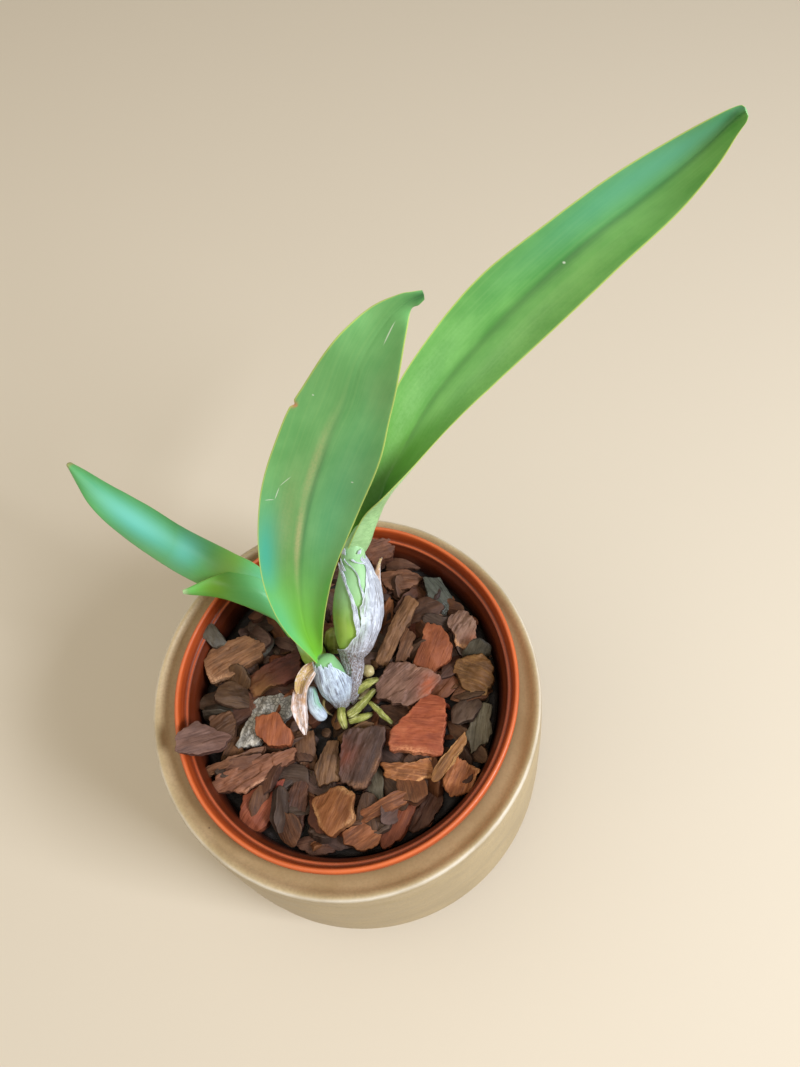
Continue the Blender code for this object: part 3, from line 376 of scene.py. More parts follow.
CHIP_TORN = {
    "layered": [(1, -33, 4), (7, -28, 3)], "front": [(-14, -42, 4), (-3, -34, 3.5), (-3, -44, 3.5)],
    "brick": [(20, -25, 6)], "crumbly": [(22, -33, 5)], "long": [(-34, -29, 5)],
    "block": [(-48, 10, 4)], "pink": [(42, 13, 3)], "nugget": [(40, -34, 3)],
    "ochre_right": [(46, -7, 3)], "slab": [(24, 2, 2)], "splinter": [(33, -28, 4)],
    "lichen": [(-34, -14, 5), (-40, -10, 4)], "red": [(-30, 5, 4)],
}
WARMTH_STEP = 0.618         # from one chip to the next, so that no two neighbours are alike
BREAK_ANGLE = 50            # faces of bark that meet at more than this many degrees look sharp

# Loose stuff strewn between those chips: how many, then the least and the most of its length,
# width, thickness and height in the pot, how far it is tipped, its grid, the seed of its
# random draws, and how far out it starts as a share of the way to the wall
FINE_CHIP = (160, 26, 10, 4)      # points round, then rings on the top, the side and below
LOOSE_CHIP = (36, 7, 3, 1)
CRUMB = (9, 2, 1, 1)
STREWN = {
    "loose": (130, (12, 22), (6, 11), (2.5, 5), (95.5, 99.5), 0.3, LOOSE_CHIP, 500, 0.0),
    "wall": (60, (10, 19), (6, 10), (2.5, 4), (97, 102), 0.4, LOOSE_CHIP, 700, 0.66),
    "crumb": (160, (2, 6), (1, 3), (0.8, 1.8), (96.5, 99.5), 0.5, CRUMB, 900, 0.0),
}
STREWN_TONES = {"terracotta": 0.2, "mauve": 0.24, "brown": 0.38, "ochre": 0.13, "grey": 0.05}


# Small sums

def linear(colour):
    """An sRGB hex colour as linear red, green, blue and alpha."""
    parts = np.array([int(colour[place:place + 2], 16) for place in (1, 3, 5)]) / 255
    parts = np.where(parts <= 0.04045, parts / 12.92, ((parts + 0.055) / 1.055) ** 2.4)
    return (*map(float, parts), 1.0)


def unit(vectors):
    """Each row scaled to length one."""
    return vectors / np.maximum(np.linalg.norm(vectors, axis=-1, keepdims=True), 1e-9)


def ease(low, high, values):
    """0 below low, 1 above high, and a smooth S between them."""
    share = np.clip((values - low) / (high - low), 0, 1)
    return share * share * (3 - 2 * share)


def bell(values, middle, reach):
    """1 at the middle, falling away on both sides like a Gaussian."""
    return np.exp(-((values - middle) / reach) ** 2)


def spread(*parts):
    """Three grids, some of one row or one column, stacked as vectors on the whole grid."""
    return np.stack(np.broadcast_arrays(*parts), axis=-1).astype(float)


def smooth_path(points, steps):
    """Catmull-Rom curve through the rows of points, read at steps even parameters."""
    points = np.asarray(points, dtype=float)
    padded = np.vstack([2 * points[0] - points[1], points, 2 * points[-1] - points[-2]])
    place = np.linspace(0, len(points) - 1, steps)
    start = np.minimum(place.astype(int), len(points) - 2)
    part = (place - start)[:, None]
    a, b, c, d = (padded[start + offset] for offset in range(4))
    return 0.5 * (2 * b + (c - a) * part + (2 * a - 5 * b + 4 * c - d) * part ** 2
                  + (3 * b - a - 3 * c + d) * part ** 3)


def noise(places, size, seed):
    """Smooth value noise from -1 to 1: random numbers on a lattice of the given size in
    millimetres, mixed with a quintic S inside each cell. size may differ by axis."""
    scaled = np.asarray(places, dtype=float) / np.asarray(size, dtype=float) + 31.7 * seed
    cell = np.floor(scaled).astype(np.int64)
    part = scaled - cell
    part = part ** 3 * (part * (part * 6 - 15) + 10)
    total = np.zeros(scaled.shape[:-1])
    for corner in range(8):
        step = np.array([corner & 1, corner >> 1 & 1, corner >> 2 & 1])
        at = cell + step
        hashed = (at[..., 0] * 374761393 + at[..., 1] * 668265263 + at[..., 2] * 2147483647
                  + seed * 1274126177)
        hashed = (hashed ^ (hashed >> 13)) * 1103515245 & 0xFFFFFFFF
        hashed = (hashed ^ (hashed >> 16)) * 668265263 & 0xFFFFFFFF
        value = (hashed ^ (hashed >> 15)) % 65536 / 32767.5 - 1
        total += value * np.prod(np.where(step == 1, part, 1 - part), axis=-1)
    return total


def rough(places, size, octaves, seed):
    """Noise with finer and fainter noise laid over it, each octave half the size."""
    size = np.asarray(size, dtype=float)
    return sum(noise(places, size / 2 ** level, seed + level) / 2 ** level
               for level in range(octaves))


def mottle(places, coarse, fine, seed):
    """Noise of one size with half as much of a finer one laid over it."""
    return noise(places, coarse, seed) + 0.5 * noise(places, fine, seed + 1)


def frames(path):
    """Tangent, side and up at each point of a path: side lies level where it can."""
    tangent = unit(np.gradient(path, axis=0))
    side = np.cross(tangent, (0.0, 0.0, 1.0))
    side[np.linalg.norm(side, axis=1) < 0.05] = (1.0, 0.0, 0.0)
    side = unit(side)
    return tangent, side, np.cross(side, tangent)


def run_of(path):
    """Distance along a path at each of its points."""
    return np.concatenate([[0.0], np.cumsum(np.linalg.norm(np.diff(path, axis=0), axis=1))])


# Skins and pieces

def turned_out(points, groups):
    """The groups of faces, all reversed if the volume that they enclose comes out
    negative: the sum over their corners of a triple product."""
    volume = 0.0
    for faces in groups:
        corners = points[faces]
        for k in range(1, faces.shape[1] - 1):
            volume += np.einsum("ij,ij->", corners[:, 0],
                                np.cross(corners[:, k], corners[:, k + 1]))
    return [faces[:, ::-1] for faces in groups] if volume < 0 else groups


def ring_faces(count, around):
    """Quads between each ring and the next."""
    index = np.arange(count * around).reshape(count, around)
    beside = np.roll(index, -1, axis=1)
    quads = np.stack([index[:-1], beside[:-1], beside[1:], index[1:]], axis=-1).reshape(-1, 4)
    return index, beside, quads


def skin(rings, **marks):
    """Closed skin over a stack of rings: quads between one ring and the next, and a fan
    from each end ring to its middle. marks are vectors with a name, one at each point,
    that a material reads."""
    rings = np.asarray(rings, dtype=float)
    count, around = rings.shape[:2]

    def listed(values):
        """One vector for each point, then the means of the two end rings."""
        values = np.broadcast_to(values, rings.shape)
        return np.vstack([values.reshape(-1, 3), values[0].mean(axis=0), values[-1].mean(axis=0)])

    index, beside, quads = ring_faces(count, around)
    near = np.stack([beside[0], index[0], np.full(around, count * around)], axis=-1)
    far = np.stack([index[-1], beside[-1], np.full(around, count * around + 1)], axis=-1)
    points = listed(rings)
    marked = {label: listed(values) for label, values in marks.items()}
    return points, turned_out(points, [quads, near, far]), marked


def slab(outer, inner, **marks):
    """Closed thin sheet from two equal grids, as rings that run over the outer grid and
    back over the inner one, with both ends shut by quads from one grid to the other."""
    rings = np.concatenate([outer, inner[:, ::-1]], axis=1)
    count, around = rings.shape[:2]
    quads = ring_faces(count, around)[2]
    first = np.arange(around // 2 - 1)
    mirror = around - 1 - first
    near = np.stack([first + 1, first, mirror, mirror - 1], axis=-1)
    far = near[:, ::-1] + (count - 1) * around
    points = rings.reshape(-1, 3)
    doubled = {label: np.concatenate([grid, grid[:, ::-1]], axis=1).reshape(-1, 3)
               for label, grid in marks.items()}
    return points, turned_out(points, [quads, near, far]), doubled


def piece(name, skins, material, slot, *nodes, sharp=None, shift=INSIDE_SHIFT):
    """One object from one or more skins, riding on the plant's only body."""
    faces, start = [], 0
    for points, groups, _ in skins:
        faces += [row for group in groups for row in (group + start).tolist()]
        start += len(points)
    mesh = bpy.data.meshes.new(name)
    mesh.from_pydata(((np.vstack([made[0] for made in skins]) + shift) * MM).tolist(), [], faces)
    for label in skins[0][2]:
        values = np.vstack([made[2][label] for made in skins]).astype(np.float32)
        marks = mesh.attributes.new(label, "FLOAT_VECTOR", "POINT")
        marks.data.foreach_set("vector", values.ravel())
    mesh.shade_smooth()
    if sharp:
        mesh.set_sharp_from_angle(angle=math.radians(sharp))
    mesh.materials.append(material)
    made = bpy.data.objects.new(name, mesh)
    bpy.context.scene.collection.objects.link(made)
    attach(made, "root")
    if nodes:
        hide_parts(*nodes)


# Materials

# Kinds of node by a short name: Blender's own name, its settings, the inputs that are given
# in order, and the output that is read, or None for all of them
KINDS = {
    "coordinates": ("ShaderNodeTexCoord", {}, (), "Object"),
    "attribute": ("ShaderNodeAttribute", {}, (), "Vector"),
    "scale": ("ShaderNodeVectorMath", {"operation": "SCALE"}, (0, "Scale"), 0),
    "length": ("ShaderNodeVectorMath", {"operation": "LENGTH"}, (0,), "Value"),
    "stretch": ("ShaderNodeMapping", {}, ("Vector", "Scale"), 0),
    "place": ("ShaderNodeMapping", {"vector_type": "TEXTURE"},
              ("Vector", "Location", "Rotation", "Scale"), 0),
    "split": ("ShaderNodeSeparateXYZ", {}, ("Vector",), None),
    "split_colour": ("ShaderNodeSeparateColor", {}, ("Color",), None),
    "add": ("ShaderNodeMath", {"operation": "ADD"}, (0, 1), 0),
    "multiply": ("ShaderNodeMath", {"operation": "MULTIPLY"}, (0, 1), 0),
    "below": ("ShaderNodeMath", {"operation": "LESS_THAN"}, (0, 1), 0),
    "magnitude": ("ShaderNodeMath", {"operation": "ABSOLUTE"}, (0,), 0),
    "ramp": ("ShaderNodeMapRange", {"interpolation_type": "SMOOTHSTEP"}, (0, 1, 2, 3, 4), 0),
    "noise": ("ShaderNodeTexNoise", {},
              ("Vector", "Scale", "Detail", "Roughness", "Distortion"), 0),
    "cells": ("ShaderNodeTexVoronoi", {"feature": "F1"}, ("Vector", "Scale"), None),
    "cracks": ("ShaderNodeTexVoronoi", {"feature": "DISTANCE_TO_EDGE"}, ("Vector", "Scale"), 0),
    "mix": ("ShaderNodeMix", {"data_type": "RGBA"}, (0, 6, 7), 2),
    "shift": ("ShaderNodeHueSaturation", {}, ("Hue", "Value", "Color"), 0),
    "bump": ("ShaderNodeBump", {}, ("Height", "Distance", "Strength"), 0),
}


def new_material(name, **shader):
    """A Principled material with the shader's plain values. Returns its two functions, add
    and finish."""
    material = bpy.data.materials.new(name)
    material.use_nodes = True
    tree = material.node_tree
    principled = tree.nodes["Principled BSDF"]

    def join(node, place, value):
        """Link an output to an input, or set the input, a colour from its sRGB hex."""
        if isinstance(value, bpy.types.NodeSocket):
            tree.links.new(value, node.inputs[place])
        else:
            node.inputs[place].default_value = linear(value) if isinstance(value, str) else value

    def add(kind, *values, **settings):
        """One node of a kind from KINDS, with its values and links in order. A ramp runs
        smoothly between its last two values while its first one passes from the second to
        the third."""
        full_name, fixed, places, output = KINDS[kind]
        node = tree.nodes.new(full_name)
        for label, value in {**fixed, **settings}.items():
            setattr(node, label, value)
        for place, value in zip(places, values):
            join(node, place, value)
        return node.outputs if output is None else node.outputs[output]

    def finish(**sockets):
        """Join outputs or values to the shader's inputs, and give the material back."""
        for label, value in sockets.items():
            join(principled, label.replace("_", " "), value)
        return material

    finish(**shader)
    return add, finish


def attribute(add, name):
    """A piece's own attribute, together and as its three numbers."""
    read = add("attribute", attribute_name=name)
    return read, add("split", read)


def object_mm(add):
    """Object coordinates in millimetres."""
    return add("scale", add("coordinates"), 1 / MM)


def grain_noise(add, vector, stretch, detail, roughness=0.55, distortion=0.0):
    """Noise whose blobs have the given size in millimetres along each axis of a place
    given in millimetres."""
    scaled = add("stretch", vector, tuple(1 / size for size in stretch))
    return add("noise", scaled, 1.0, detail, roughness, distortion)


def glazed_stoneware():
    """Sand grey feldspar glaze over thrown stoneware, fired matt: the eye gets a soft
    satin, faint clouds where the glaze is thinner, a near-white edge where it ran off the rim
    that is also a painted highlight, painted shade down the lip's inner slope, iron specks under
    half a millimetre across and a bare, browner foot."""
    add, finish = new_material("satin_glazed_stoneware", Roughness=0.42, IOR=1.5)
    place = object_mm(add)
    _, mark = attribute(add, "mark")
    cloud = grain_noise(add, place, (22, 22, 12), 5.0)
    fine = grain_noise(add, place, (0.9, 0.9, 0.9), 3.0)
    body = add("mix", add("ramp", cloud, 0.35, 0.66, 0.0, 1.0), "#ac976e", "#bea980")
    body = add("mix", add("ramp", fine, 0.35, 0.72, 0.0, 0.35), body, "#93805e")
    # mark[1]: painted shade on the lip's inner slope, darkest next to the nursery pot
    body = add("mix", mark[1], body, "#8c7148")
    # mark[0]: the lip's outer edge paler where the glaze ran thin, and a painted highlight
    thin = add("multiply", mark[0], add("ramp", cloud, 0.3, 0.6, 0.45, 0.9))
    body = add("mix", thin, body, "#efe8d8")
    body = add("mix", mark[2], body, "#97805d")
    found = add("cells", place, 1 / 5.4)
    pick = add("split_colour", found["Color"])
    speck = add("below", found["Distance"], add("ramp", pick[0], 0.5, 1.0, 0.0, 0.07))
    iron = add("multiply", speck, add("ramp", pick[1], 0.0, 1.0, 0.3, 0.85))
    body = add("mix", iron, body, "#43352a")
    height = add("add", add("multiply", fine, 0.35), cloud)
    return finish(Base_Color=body, Roughness=add("ramp", cloud, 0.2, 0.8, 0.36, 0.5),
                  Normal=add("bump", height, 0.12 * MM, 0.6))


def moulded_plastic():
    """Terracotta coloured polypropylene, injection moulded and thin: the eye gets a soft
    waxy shine, faint flow lines round the wall, paler orange on the edges, rubbed and with a
    painted highlight, painted shade in the groove inside the rim and down the inner wall, and
    fine dust."""
    add, finish = new_material("moulded_polypropylene", Roughness=0.4, IOR=1.49)
    place = object_mm(add)
    _, mark = attribute(add, "mark")
    flow = grain_noise(add, place, (18, 18, 0.9), 3.0)
    dust = grain_noise(add, place, (1.1, 1.1, 1.1), 4.0, 0.65)
    body = add("mix", add("ramp", flow, 0.3, 0.7, 0.0, 1.0), "#b84a1c", "#cc5a26")
    # mark[0]: the crests paler, rubbed and with a painted highlight
    body = add("mix", add("multiply", mark[0], 0.6), body, "#f08a50")
    body = add("mix", add("ramp", dust, 0.58, 0.8, 0.0, 0.35), body, "#9c6a50")
    # mark[2]: painted shade in the groove and down the inner wall
    body = add("mix", mark[2], body, "#341206")
    height = add("add", flow, add("multiply", dust, 0.5))
    return finish(Base_Color=body, Roughness=add("ramp", dust, 0.3, 0.8, 0.32, 0.55),
                  Normal=add("bump", height, 0.05 * MM, 0.5))


def scuff(add, lie, place, turn, length, width):
    """1 inside a thin oval at a place on the blade, fading out to its edge."""
    local = add("place", lie, (*place, 0.0), (0.0, 0.0, turn), (length / 2, width / 2, 1.0))
    return add("ramp", add("length", local), 0.5, 1.0, 0.75, 0.0)


def leaf_blade(name, dark, light, painted_sheen_colour, deep, young, worn, scuffs=()):
    """Living cattleya blade under a thick cuticle: the eye gets a satin sheen, yellow margins half
    a millimetre wide, barely raised veins and yellower growth at the foot. Over these lie the
    blade's soft patches: a painted turquoise sheen and painted light in painted_sheen_colour, the
    pale colour worn, which is partly painted sheen and painted light, and the colour deep, which is
    partly painted shade and shadow. young is how far up the yellow reaches."""
    add, finish = new_material(name, Roughness=0.38, IOR=1.46, Coat_Weight=0.15, Coat_Roughness=0.3)
    lie, _ = attribute(add, "lie")
    _, mark = attribute(add, "mark")
    _, wash = attribute(add, "wash")
    side = add("magnitude", mark[1])
    cloud = grain_noise(add, lie, (9, 20, 9), 4.0)
    veins = grain_noise(add, lie, (0.6, 70, 40), 2.0, 0.6)
    grit = grain_noise(add, lie, (0.7, 1.2, 1), 3.0, 0.7)
    body = add("mix", add("ramp", cloud, 0.3, 0.72, 0.0, 1.0), dark, light)
    body = add("mix", add("ramp", veins, 0.4, 0.75, 0.0, 0.12), body, "#a6cc7c")
    body = add("mix", add("ramp", mark[2], 0.0, young, 0.9, 0.0), body, "#7cc92a")
    # The deep wash: a darker colour, partly painted shade and painted shadow
    body = add("mix", wash[2], body, deep)
    # The pale wash: a speckled paler colour, partly painted sheen and painted light
    body = add("mix", add("multiply", wash[1], add("ramp", grit, 0.3, 0.65, 0.6, 1.0)), body, worn)
    # The painted_sheen wash: a painted turquoise sheen and painted light
    body = add("mix", wash[0], body, painted_sheen_colour)
    body = add("mix", add("ramp", side, 0.965, 0.99, 0.0, 0.8), body, "#c0d268")
    body = add("mix", mark[0], body, "#c08a5e")
    for scratch in scuffs:
        body = add("mix", scuff(add, lie, *scratch), body, "#dde8d2")
    return finish(Base_Color=body, Roughness=add("ramp", cloud, 0.25, 0.75, 0.34, 0.46),
                  Normal=add("bump", veins, 0.03 * MM, 0.4))


def bulb_skin(name, pale, deep, upper=None):
    """Smooth living bulb skin: satin, with faint lengthwise ribs and small brown dots.
    Past about half of its length it turns to the colour upper."""
    add, finish = new_material(name, Roughness=0.4, IOR=1.45, Coat_Weight=0.12, Coat_Roughness=0.3)
    lie, _ = attribute(add, "lie")
    _, mark = attribute(add, "mark")
    ribs = grain_noise(add, lie, (0.9, 14, 1), 3.0)
    cloud = grain_noise(add, lie, (5, 10, 4), 3.0)
    dots = add("ramp", add("cells", lie, 1 / 4.2)["Distance"], 0.03, 0.06, 0.6, 0.0)
    body = add("mix", add("ramp", cloud, 0.3, 0.7, 0.0, 1.0), deep, pale)
    body = add("mix", add("ramp", ribs, 0.45, 0.75, 0.0, 0.25), body, "#d2e29a")
    body = add("mix", dots, body, "#6b5226")
    if upper:
        body = add("mix", add("ramp", mark[0], 0.47, 0.7, 0.0, 1.0), body, upper)
    return finish(Base_Color=body, Normal=add("bump", ribs, 0.06 * MM, 0.4))


def papery_husk(name, pale, middle, line, green, brown):
    """Dead papery sheath, dried on the bulb: the eye gets silvery fibres with brown-grey
    lines half a millimetre apart between them, torn pale edges, live green showing
    through where it is thin, and crumbly brown shreds at the neck with pale flecks."""
    add, finish = new_material(name, Roughness=0.6, IOR=1.45, Sheen_Weight=0.15,
                               Sheen_Roughness=0.4)
    lie, _ = attribute(add, "lie")
    _, mark = attribute(add, "mark")
    fibres = grain_noise(add, lie, (0.36, 8.0, 1), 3.0, 0.6, 0.3)
    folds = grain_noise(add, lie, (1.1, 8.0, 1), 3.0, 0.6, 0.6)
    cloud = grain_noise(add, lie, (2.6, 5.0, 1), 4.0, 0.65, 0.6)
    crumb = grain_noise(add, lie, (0.5, 0.9, 1), 4.0, 0.7, 0.4)
    shreds = add("multiply", mark[2], add("ramp", crumb, 0.4, 0.62, 1.0, 0.15))
    body = add("mix", add("ramp", cloud, 0.4, 0.6, 0.0, 1.0), middle, pale)
    live = add("multiply", mark[1], add("ramp", folds, 0.4, 0.56, 0.3, 1.0))
    body = add("mix", live, body, green)
    body = add("mix", shreds, body, brown)
    body = add("mix", add("ramp", folds, 0.52, 0.62, 0.0, 0.5), body, middle)
    body = add("mix", add("ramp", fibres, 0.52, 0.62, 0.0, 0.7), body, line)
    body = add("mix", mark[0], body, pale)
    low = add("add", add("multiply", crumb, 0.5), add("multiply", cloud, 0.7))
    height = add("add", add("multiply", fibres, 0.5), add("add", folds, low))
    return finish(Base_Color=body, Normal=add("bump", height, 0.35 * MM, 0.9))


def root_skin(name, pale, middle, deep):
    """Living root under dull spongy velamen: yellow-green, slightly lumpy, with pale
    lengthwise streaks and brown scars."""
    add, finish = new_material(name, Roughness=0.6, IOR=1.4)
    lie, _ = attribute(add, "lie")
    _, mark = attribute(add, "mark")
    fine = grain_noise(add, lie, (0.5, 1.8, 1), 4.0, 0.65)
    streak = grain_noise(add, lie, (0.7, 6.0, 1), 3.0)
    cloud = grain_noise(add, lie, (1.8, 4.0, 1), 3.0, 0.6)
    body = add("mix", add("ramp", cloud, 0.4, 0.62, 0.0, 1.0), middle, pale)
    body = add("mix", add("ramp", streak, 0.52, 0.68, 0.0, 0.75), body, "#d9d8a0")
    body = add("mix", add("ramp", fine, 0.3, 0.42, 0.85, 0.0), body, deep)
    body = add("mix", add("ramp", mark[0], 0.75, 1.0, 0.0, 0.8), body, deep)
    return finish(Base_Color=body, Normal=add("bump", add("add", fine, streak), 0.25 * MM, 0.9))


def bark(name, middle, pale, deep, patch, torn, gloss=0.66, crust=0.0):
    """Broken pine bark: corky plates split along the grain. The eye gets soft clouds of
    the deeper tone, faint fibres half a millimetre wide, layer lines on the broken sides,
    a second tone where a layer came off, and fresh crumbly edges. crust adds fine dark
    cracks between scales a millimetre and a half across."""
    add, finish = new_material(name, Roughness=gloss, IOR=1.45)
    lie, _ = attribute(add, "lie")
    _, mark = attribute(add, "mark")
    _, tone = attribute(add, "tone")
    fibre = grain_noise(add, lie, (7.0, 0.5, 0.8), 3.0, 0.6, 0.3)
    cloud = grain_noise(add, lie, (8.0, 4.0, 4.0), 3.0, 0.55, 0.5)
    crumb = grain_noise(add, lie, (0.7, 0.55, 0.55), 3.0, 0.7)
    layer = grain_noise(add, lie, (9.0, 9.0, 0.6), 3.0, 0.6, 0.3)
    body = add("mix", add("ramp", cloud, 0.34, 0.62, 0.6, 0.0), middle, deep)
    body = add("mix", add("ramp", cloud, 0.55, 0.75, 0.0, 0.6), body, pale)
    body = add("mix", add("ramp", fibre, 0.5, 0.7, 0.0, 0.5), body, pale)
    body = add("mix", add("ramp", fibre, 0.28, 0.44, 0.65, 0.0), body, deep)
    second = add("multiply", mark[1], add("ramp", cloud, 0.35, 0.55, 0.5, 1.0))
    body = add("mix", second, body, patch)
    layered = add("multiply", mark[2], add("ramp", layer, 0.42, 0.6, 0.25, 0.85))
    body = add("mix", layered, body, deep)
    if crust:
        crack = add("ramp", add("cracks", lie, 1 / 1.5), 0.02, 0.16, crust, 0.0)
        body = add("mix", crack, body, deep)
    worn = add("multiply", mark[0], add("ramp", crumb, 0.38, 0.62, 0.1, 0.7))
    body = add("mix", worn, body, pale)
    fresh = add("multiply", tone[2], add("ramp", crumb, 0.36, 0.6, 0.25, 1.0))
    body = add("mix", fresh, body, torn)
    hue = add("ramp", tone[1], 0.0, 1.0, 0.488, 0.508)
    # tone[0] is each chip's value, partly painted shade and light
    value = add("ramp", tone[0], -0.3, 1.0, 0.28, 1.18)
    body = add("shift", hue, value, body)
    low = add("add", add("multiply", crumb, 0.3), cloud)
    height = add("add", add("multiply", fibre, 0.55), low)
    return finish(Base_Color=body, Normal=add("bump", height, 0.4 * MM, 0.9))


GLAZE = glazed_stoneware()
PLASTIC = moulded_plastic()
# After each blade's two greens: its painted sheen colour, its deep colour, partly painted shade,
# how far the yellow reaches, and its pale colour, which on the young blade is painted light at the
# foot
LONG_BLADE = leaf_blade("waxy_long_blade", "#579c42", "#72b356", "#5fb494", "#2c6322", 0.36,
                        "#c0e8a2", LONG_SCUFFS)
CENTRE_BLADE = leaf_blade("waxy_centre_blade", "#62a85c", "#78b86c", "#46b094", "#326a34", 0.4,
                          "#c2c084", CENTRE_SCUFFS)
YOUNG_BLADE = leaf_blade("young_waxy_blade", "#56a854", "#66b862", "#6cccb8", "#86b23c", 0.2,
                         "#74d468")
BRACT_BLADE = leaf_blade("waxy_bract", "#5cb452", "#6cc45e", "#86ecaa", "#6c9c24", 0.04, "#d8dcb8")
GREEN_BULB = bulb_skin("green_bulb_skin", "#aad05a", "#90bc46", "#a6d69a")
BLUE_BULB = bulb_skin("blue_green_bulb_skin", "#92c894", "#6cac74", "#8cc486")
OLD_BULB = bulb_skin("olive_bulb_skin", "#8a9440", "#66702a")
CREAM_BUD = bulb_skin("cream_bud_scales", "#c8b884", "#9f8c54")
SILVER_HUSK = papery_husk("silver_papery_husk", "#e8f0fa", "#bcc3ce", "#6c6664", "#a2cf78",
                          "#6e5038")
BLUE_HUSK = papery_husk("blue_papery_husk", "#dceefa", "#b2c0d0", "#585660", "#7cc088", "#7d6450")
TAN_HUSK = papery_husk("tan_papery_husk", "#efe4e2", "#cda67f", "#7d5236", "#b8a45a", "#c4a860")
ROOT = root_skin("root_velamen", "#a3a656", "#757a34", "#3a3418")
OLD_ROOT = root_skin("brown_rhizome", "#7d6b3c", "#5d4c28", "#2f2413")
BARKS = {
    "terracotta": bark("rusty_inner_bark", "#96542c", "#ad6c40", "#693419", "#8a3e1e", "#cf9563"),
    "red": bark("red_inner_bark", "#7c3826", "#934b35", "#461b13", "#b0743c", "#c99058"),
    "mauve": bark("mauve_outer_bark", "#7a5b48", "#957460", "#462f24", "#a3582e", "#cf9a68"),
    "brown": bark("brown_bark", "#7e5438", "#986c4a", "#432818", "#8c6048", "#bf9270"),
    "ochre": bark("ochre_broken_bark", "#925f34", "#b27c45", "#4f3019", "#7a4a26", "#d9a468"),
    "grey": bark("grey_weathered_bark", "#756a55", "#928874", "#3d362a", "#6c5a48", "#a9a290", 0.5),
    "crusted": bark("crusted_grey_bark", "#9b968c", "#bcb8ae", "#4c4842", "#7d766a", "#c9c2b4", 0.7,
                    0.75),
    "wet": bark("wet_bark", "#5d6055", "#80847c", "#2c2d26", "#4c4a3c", "#a9b0b0", 0.16),
    # Near-black packed bark: painted shade in the deep gaps between the chips
    "dark": bark("packed_bark_painted_shade", "#160d08", "#22150d", "#0a0604", "#160d08", "#2c1d12"),
}
CHIP_BARK = {"lichen": "crusted", "wet": "wet", "red": "red"}


# Pots

def oval_rings(profile, sides, turn=0.0):
    """Rings at the heights of a profile of x radius, y radius and z: each is an oval
    whose long axis is turned from +X."""
    profile = np.asarray(profile, dtype=float)
    angle = np.linspace(0, 2 * np.pi, sides, endpoint=False)
    x = profile[:, 0, None] * np.cos(angle - turn)
    y = profile[:, 1, None] * np.sin(angle - turn)
    return spread(x * math.cos(turn) - y * math.sin(turn),
                  x * math.sin(turn) + y * math.cos(turn), profile[:, 2, None])


def rounded(profile, steps):
    """A profile's corners joined by a smooth curve that still passes through them, read
    at even distances."""
    curve = smooth_path(profile, len(profile) * 40)
    run = run_of(curve)
    even = np.linspace(0, run[-1], steps)
    return np.stack([np.interp(even, run, curve[:, k]) for k in range(curve.shape[1])], axis=-1)


def wall_radius(z):
    """Outer radius of the cover pot: the belly's parabola, then a quarter of an ellipse
    that turns in to the foot."""
    depth = POT_HEIGHT - np.maximum(z, SHOULDER_Z)
    radius = RIM_RADIUS + BELLY_SWELL * (1 - (1 - depth / BELLY_REACH) ** 2)
    drop = np.clip((SHOULDER_Z - z) / SHOULDER_Z, 0, 1)
    return radius - (radius - FOOT_RADIUS) * (1 - np.sqrt(1 - drop ** SHOULDER_CURVE))


def cover_pot():
    """The pot's section, up the outside, over the broad sloping lip and down the inside,
    turned round its axis. Fingers left faint rings on the wall while it was thrown, and
    the lip's inner edge keeps an even gap to the nursery pot's oval below the collar.
    The mark is the thin glaze and a painted highlight on the lip's outer edge, painted shade on its
    inner side, and the bare foot."""
    outside_z = np.concatenate([[0.0, 0.35, 1.0], np.linspace(2, WALL_TOP, 90)])
    outside = np.stack([wall_radius(outside_z), outside_z], axis=1)
    outside[:2, 0] -= (0.9, 0.3)
    lip = rounded(LIP, 46)
    inside_z = np.linspace(92, 12, 20)
    inside = np.stack([wall_radius(inside_z) - POT_WALL, inside_z], axis=1)
    corner = wall_radius(8.0) - POT_WALL
    floor = [(corner - 2, 8.2), (corner - 5, 6.6), (48.0, POT_FLOOR), (24.0, POT_FLOOR)]
    foot = [(20.0, 0.0), (40.0, 0.0), (53.0, 0.0)]
    section = np.vstack([foot, outside, lip, inside, floor])
    rings = oval_rings(section[:, [0, 0, 1]], POT_SIDES)
    height, radius = section[:, 1], section[:, 0]
    turned = ease(6, 26, height) * (radius > FOOT_RADIUS - 3)
    wave = 0.14 * noise(spread(0 * height, 0 * height, height), 5.5, 3) * turned
    lean = 0.18 * noise(rings, (60, 60, 40), 8) * turned[:, None]
    near_edge = bell(radius, EDGE_RADIUS, 0.5) * (height > 104)
    chipped = 0.12 * noise(rings, 2.2, 14) * near_edge[:, None]
    way = unit(rings * (1, 1, 0))
    angle = np.arctan2(rings[..., 1], rings[..., 0])
    oval = NURSERY_MEAN + NURSERY_WIDER * np.cos(2 * (angle - NURSERY_TURN))
    beside = oval + way @ INSIDE_SHIFT - COLLAR_STEP + LIP_GAP
    inner_side = (height > LIP_BOTTOM) * (radius < LIP_CREST)
    drawn_in = ease(65.5, 61.2, radius) * inner_side
    rings = rings + way * (drawn_in[:, None] * (beside - LIP_NARROWEST))[..., None]
    rings = rings + way * (wave[:, None] + lean + chipped - 0.2 * turned[:, None])[..., None]
    # The lip's outer edge: thin glaze and a painted highlight
    edge = 0.8 * bell(radius, EDGE_RADIUS, 0.45) * (height > WALL_TOP + 0.2)
    # The lip's inner slope: painted shade, darkest next to the nursery pot
    slope = 0.75 * ease(66.4, 61.5, radius) * inner_side
    bare = ease(2.4, 1.6, height)
    mark = spread(edge[:, None], slope[:, None], bare[:, None] + 0 * rings[..., 0])
    piece("cover_pot_glazed", [skin(rings, mark=mark)], GLAZE, "stoneware", "cover_pot",
          shift=(0, 0, 0))


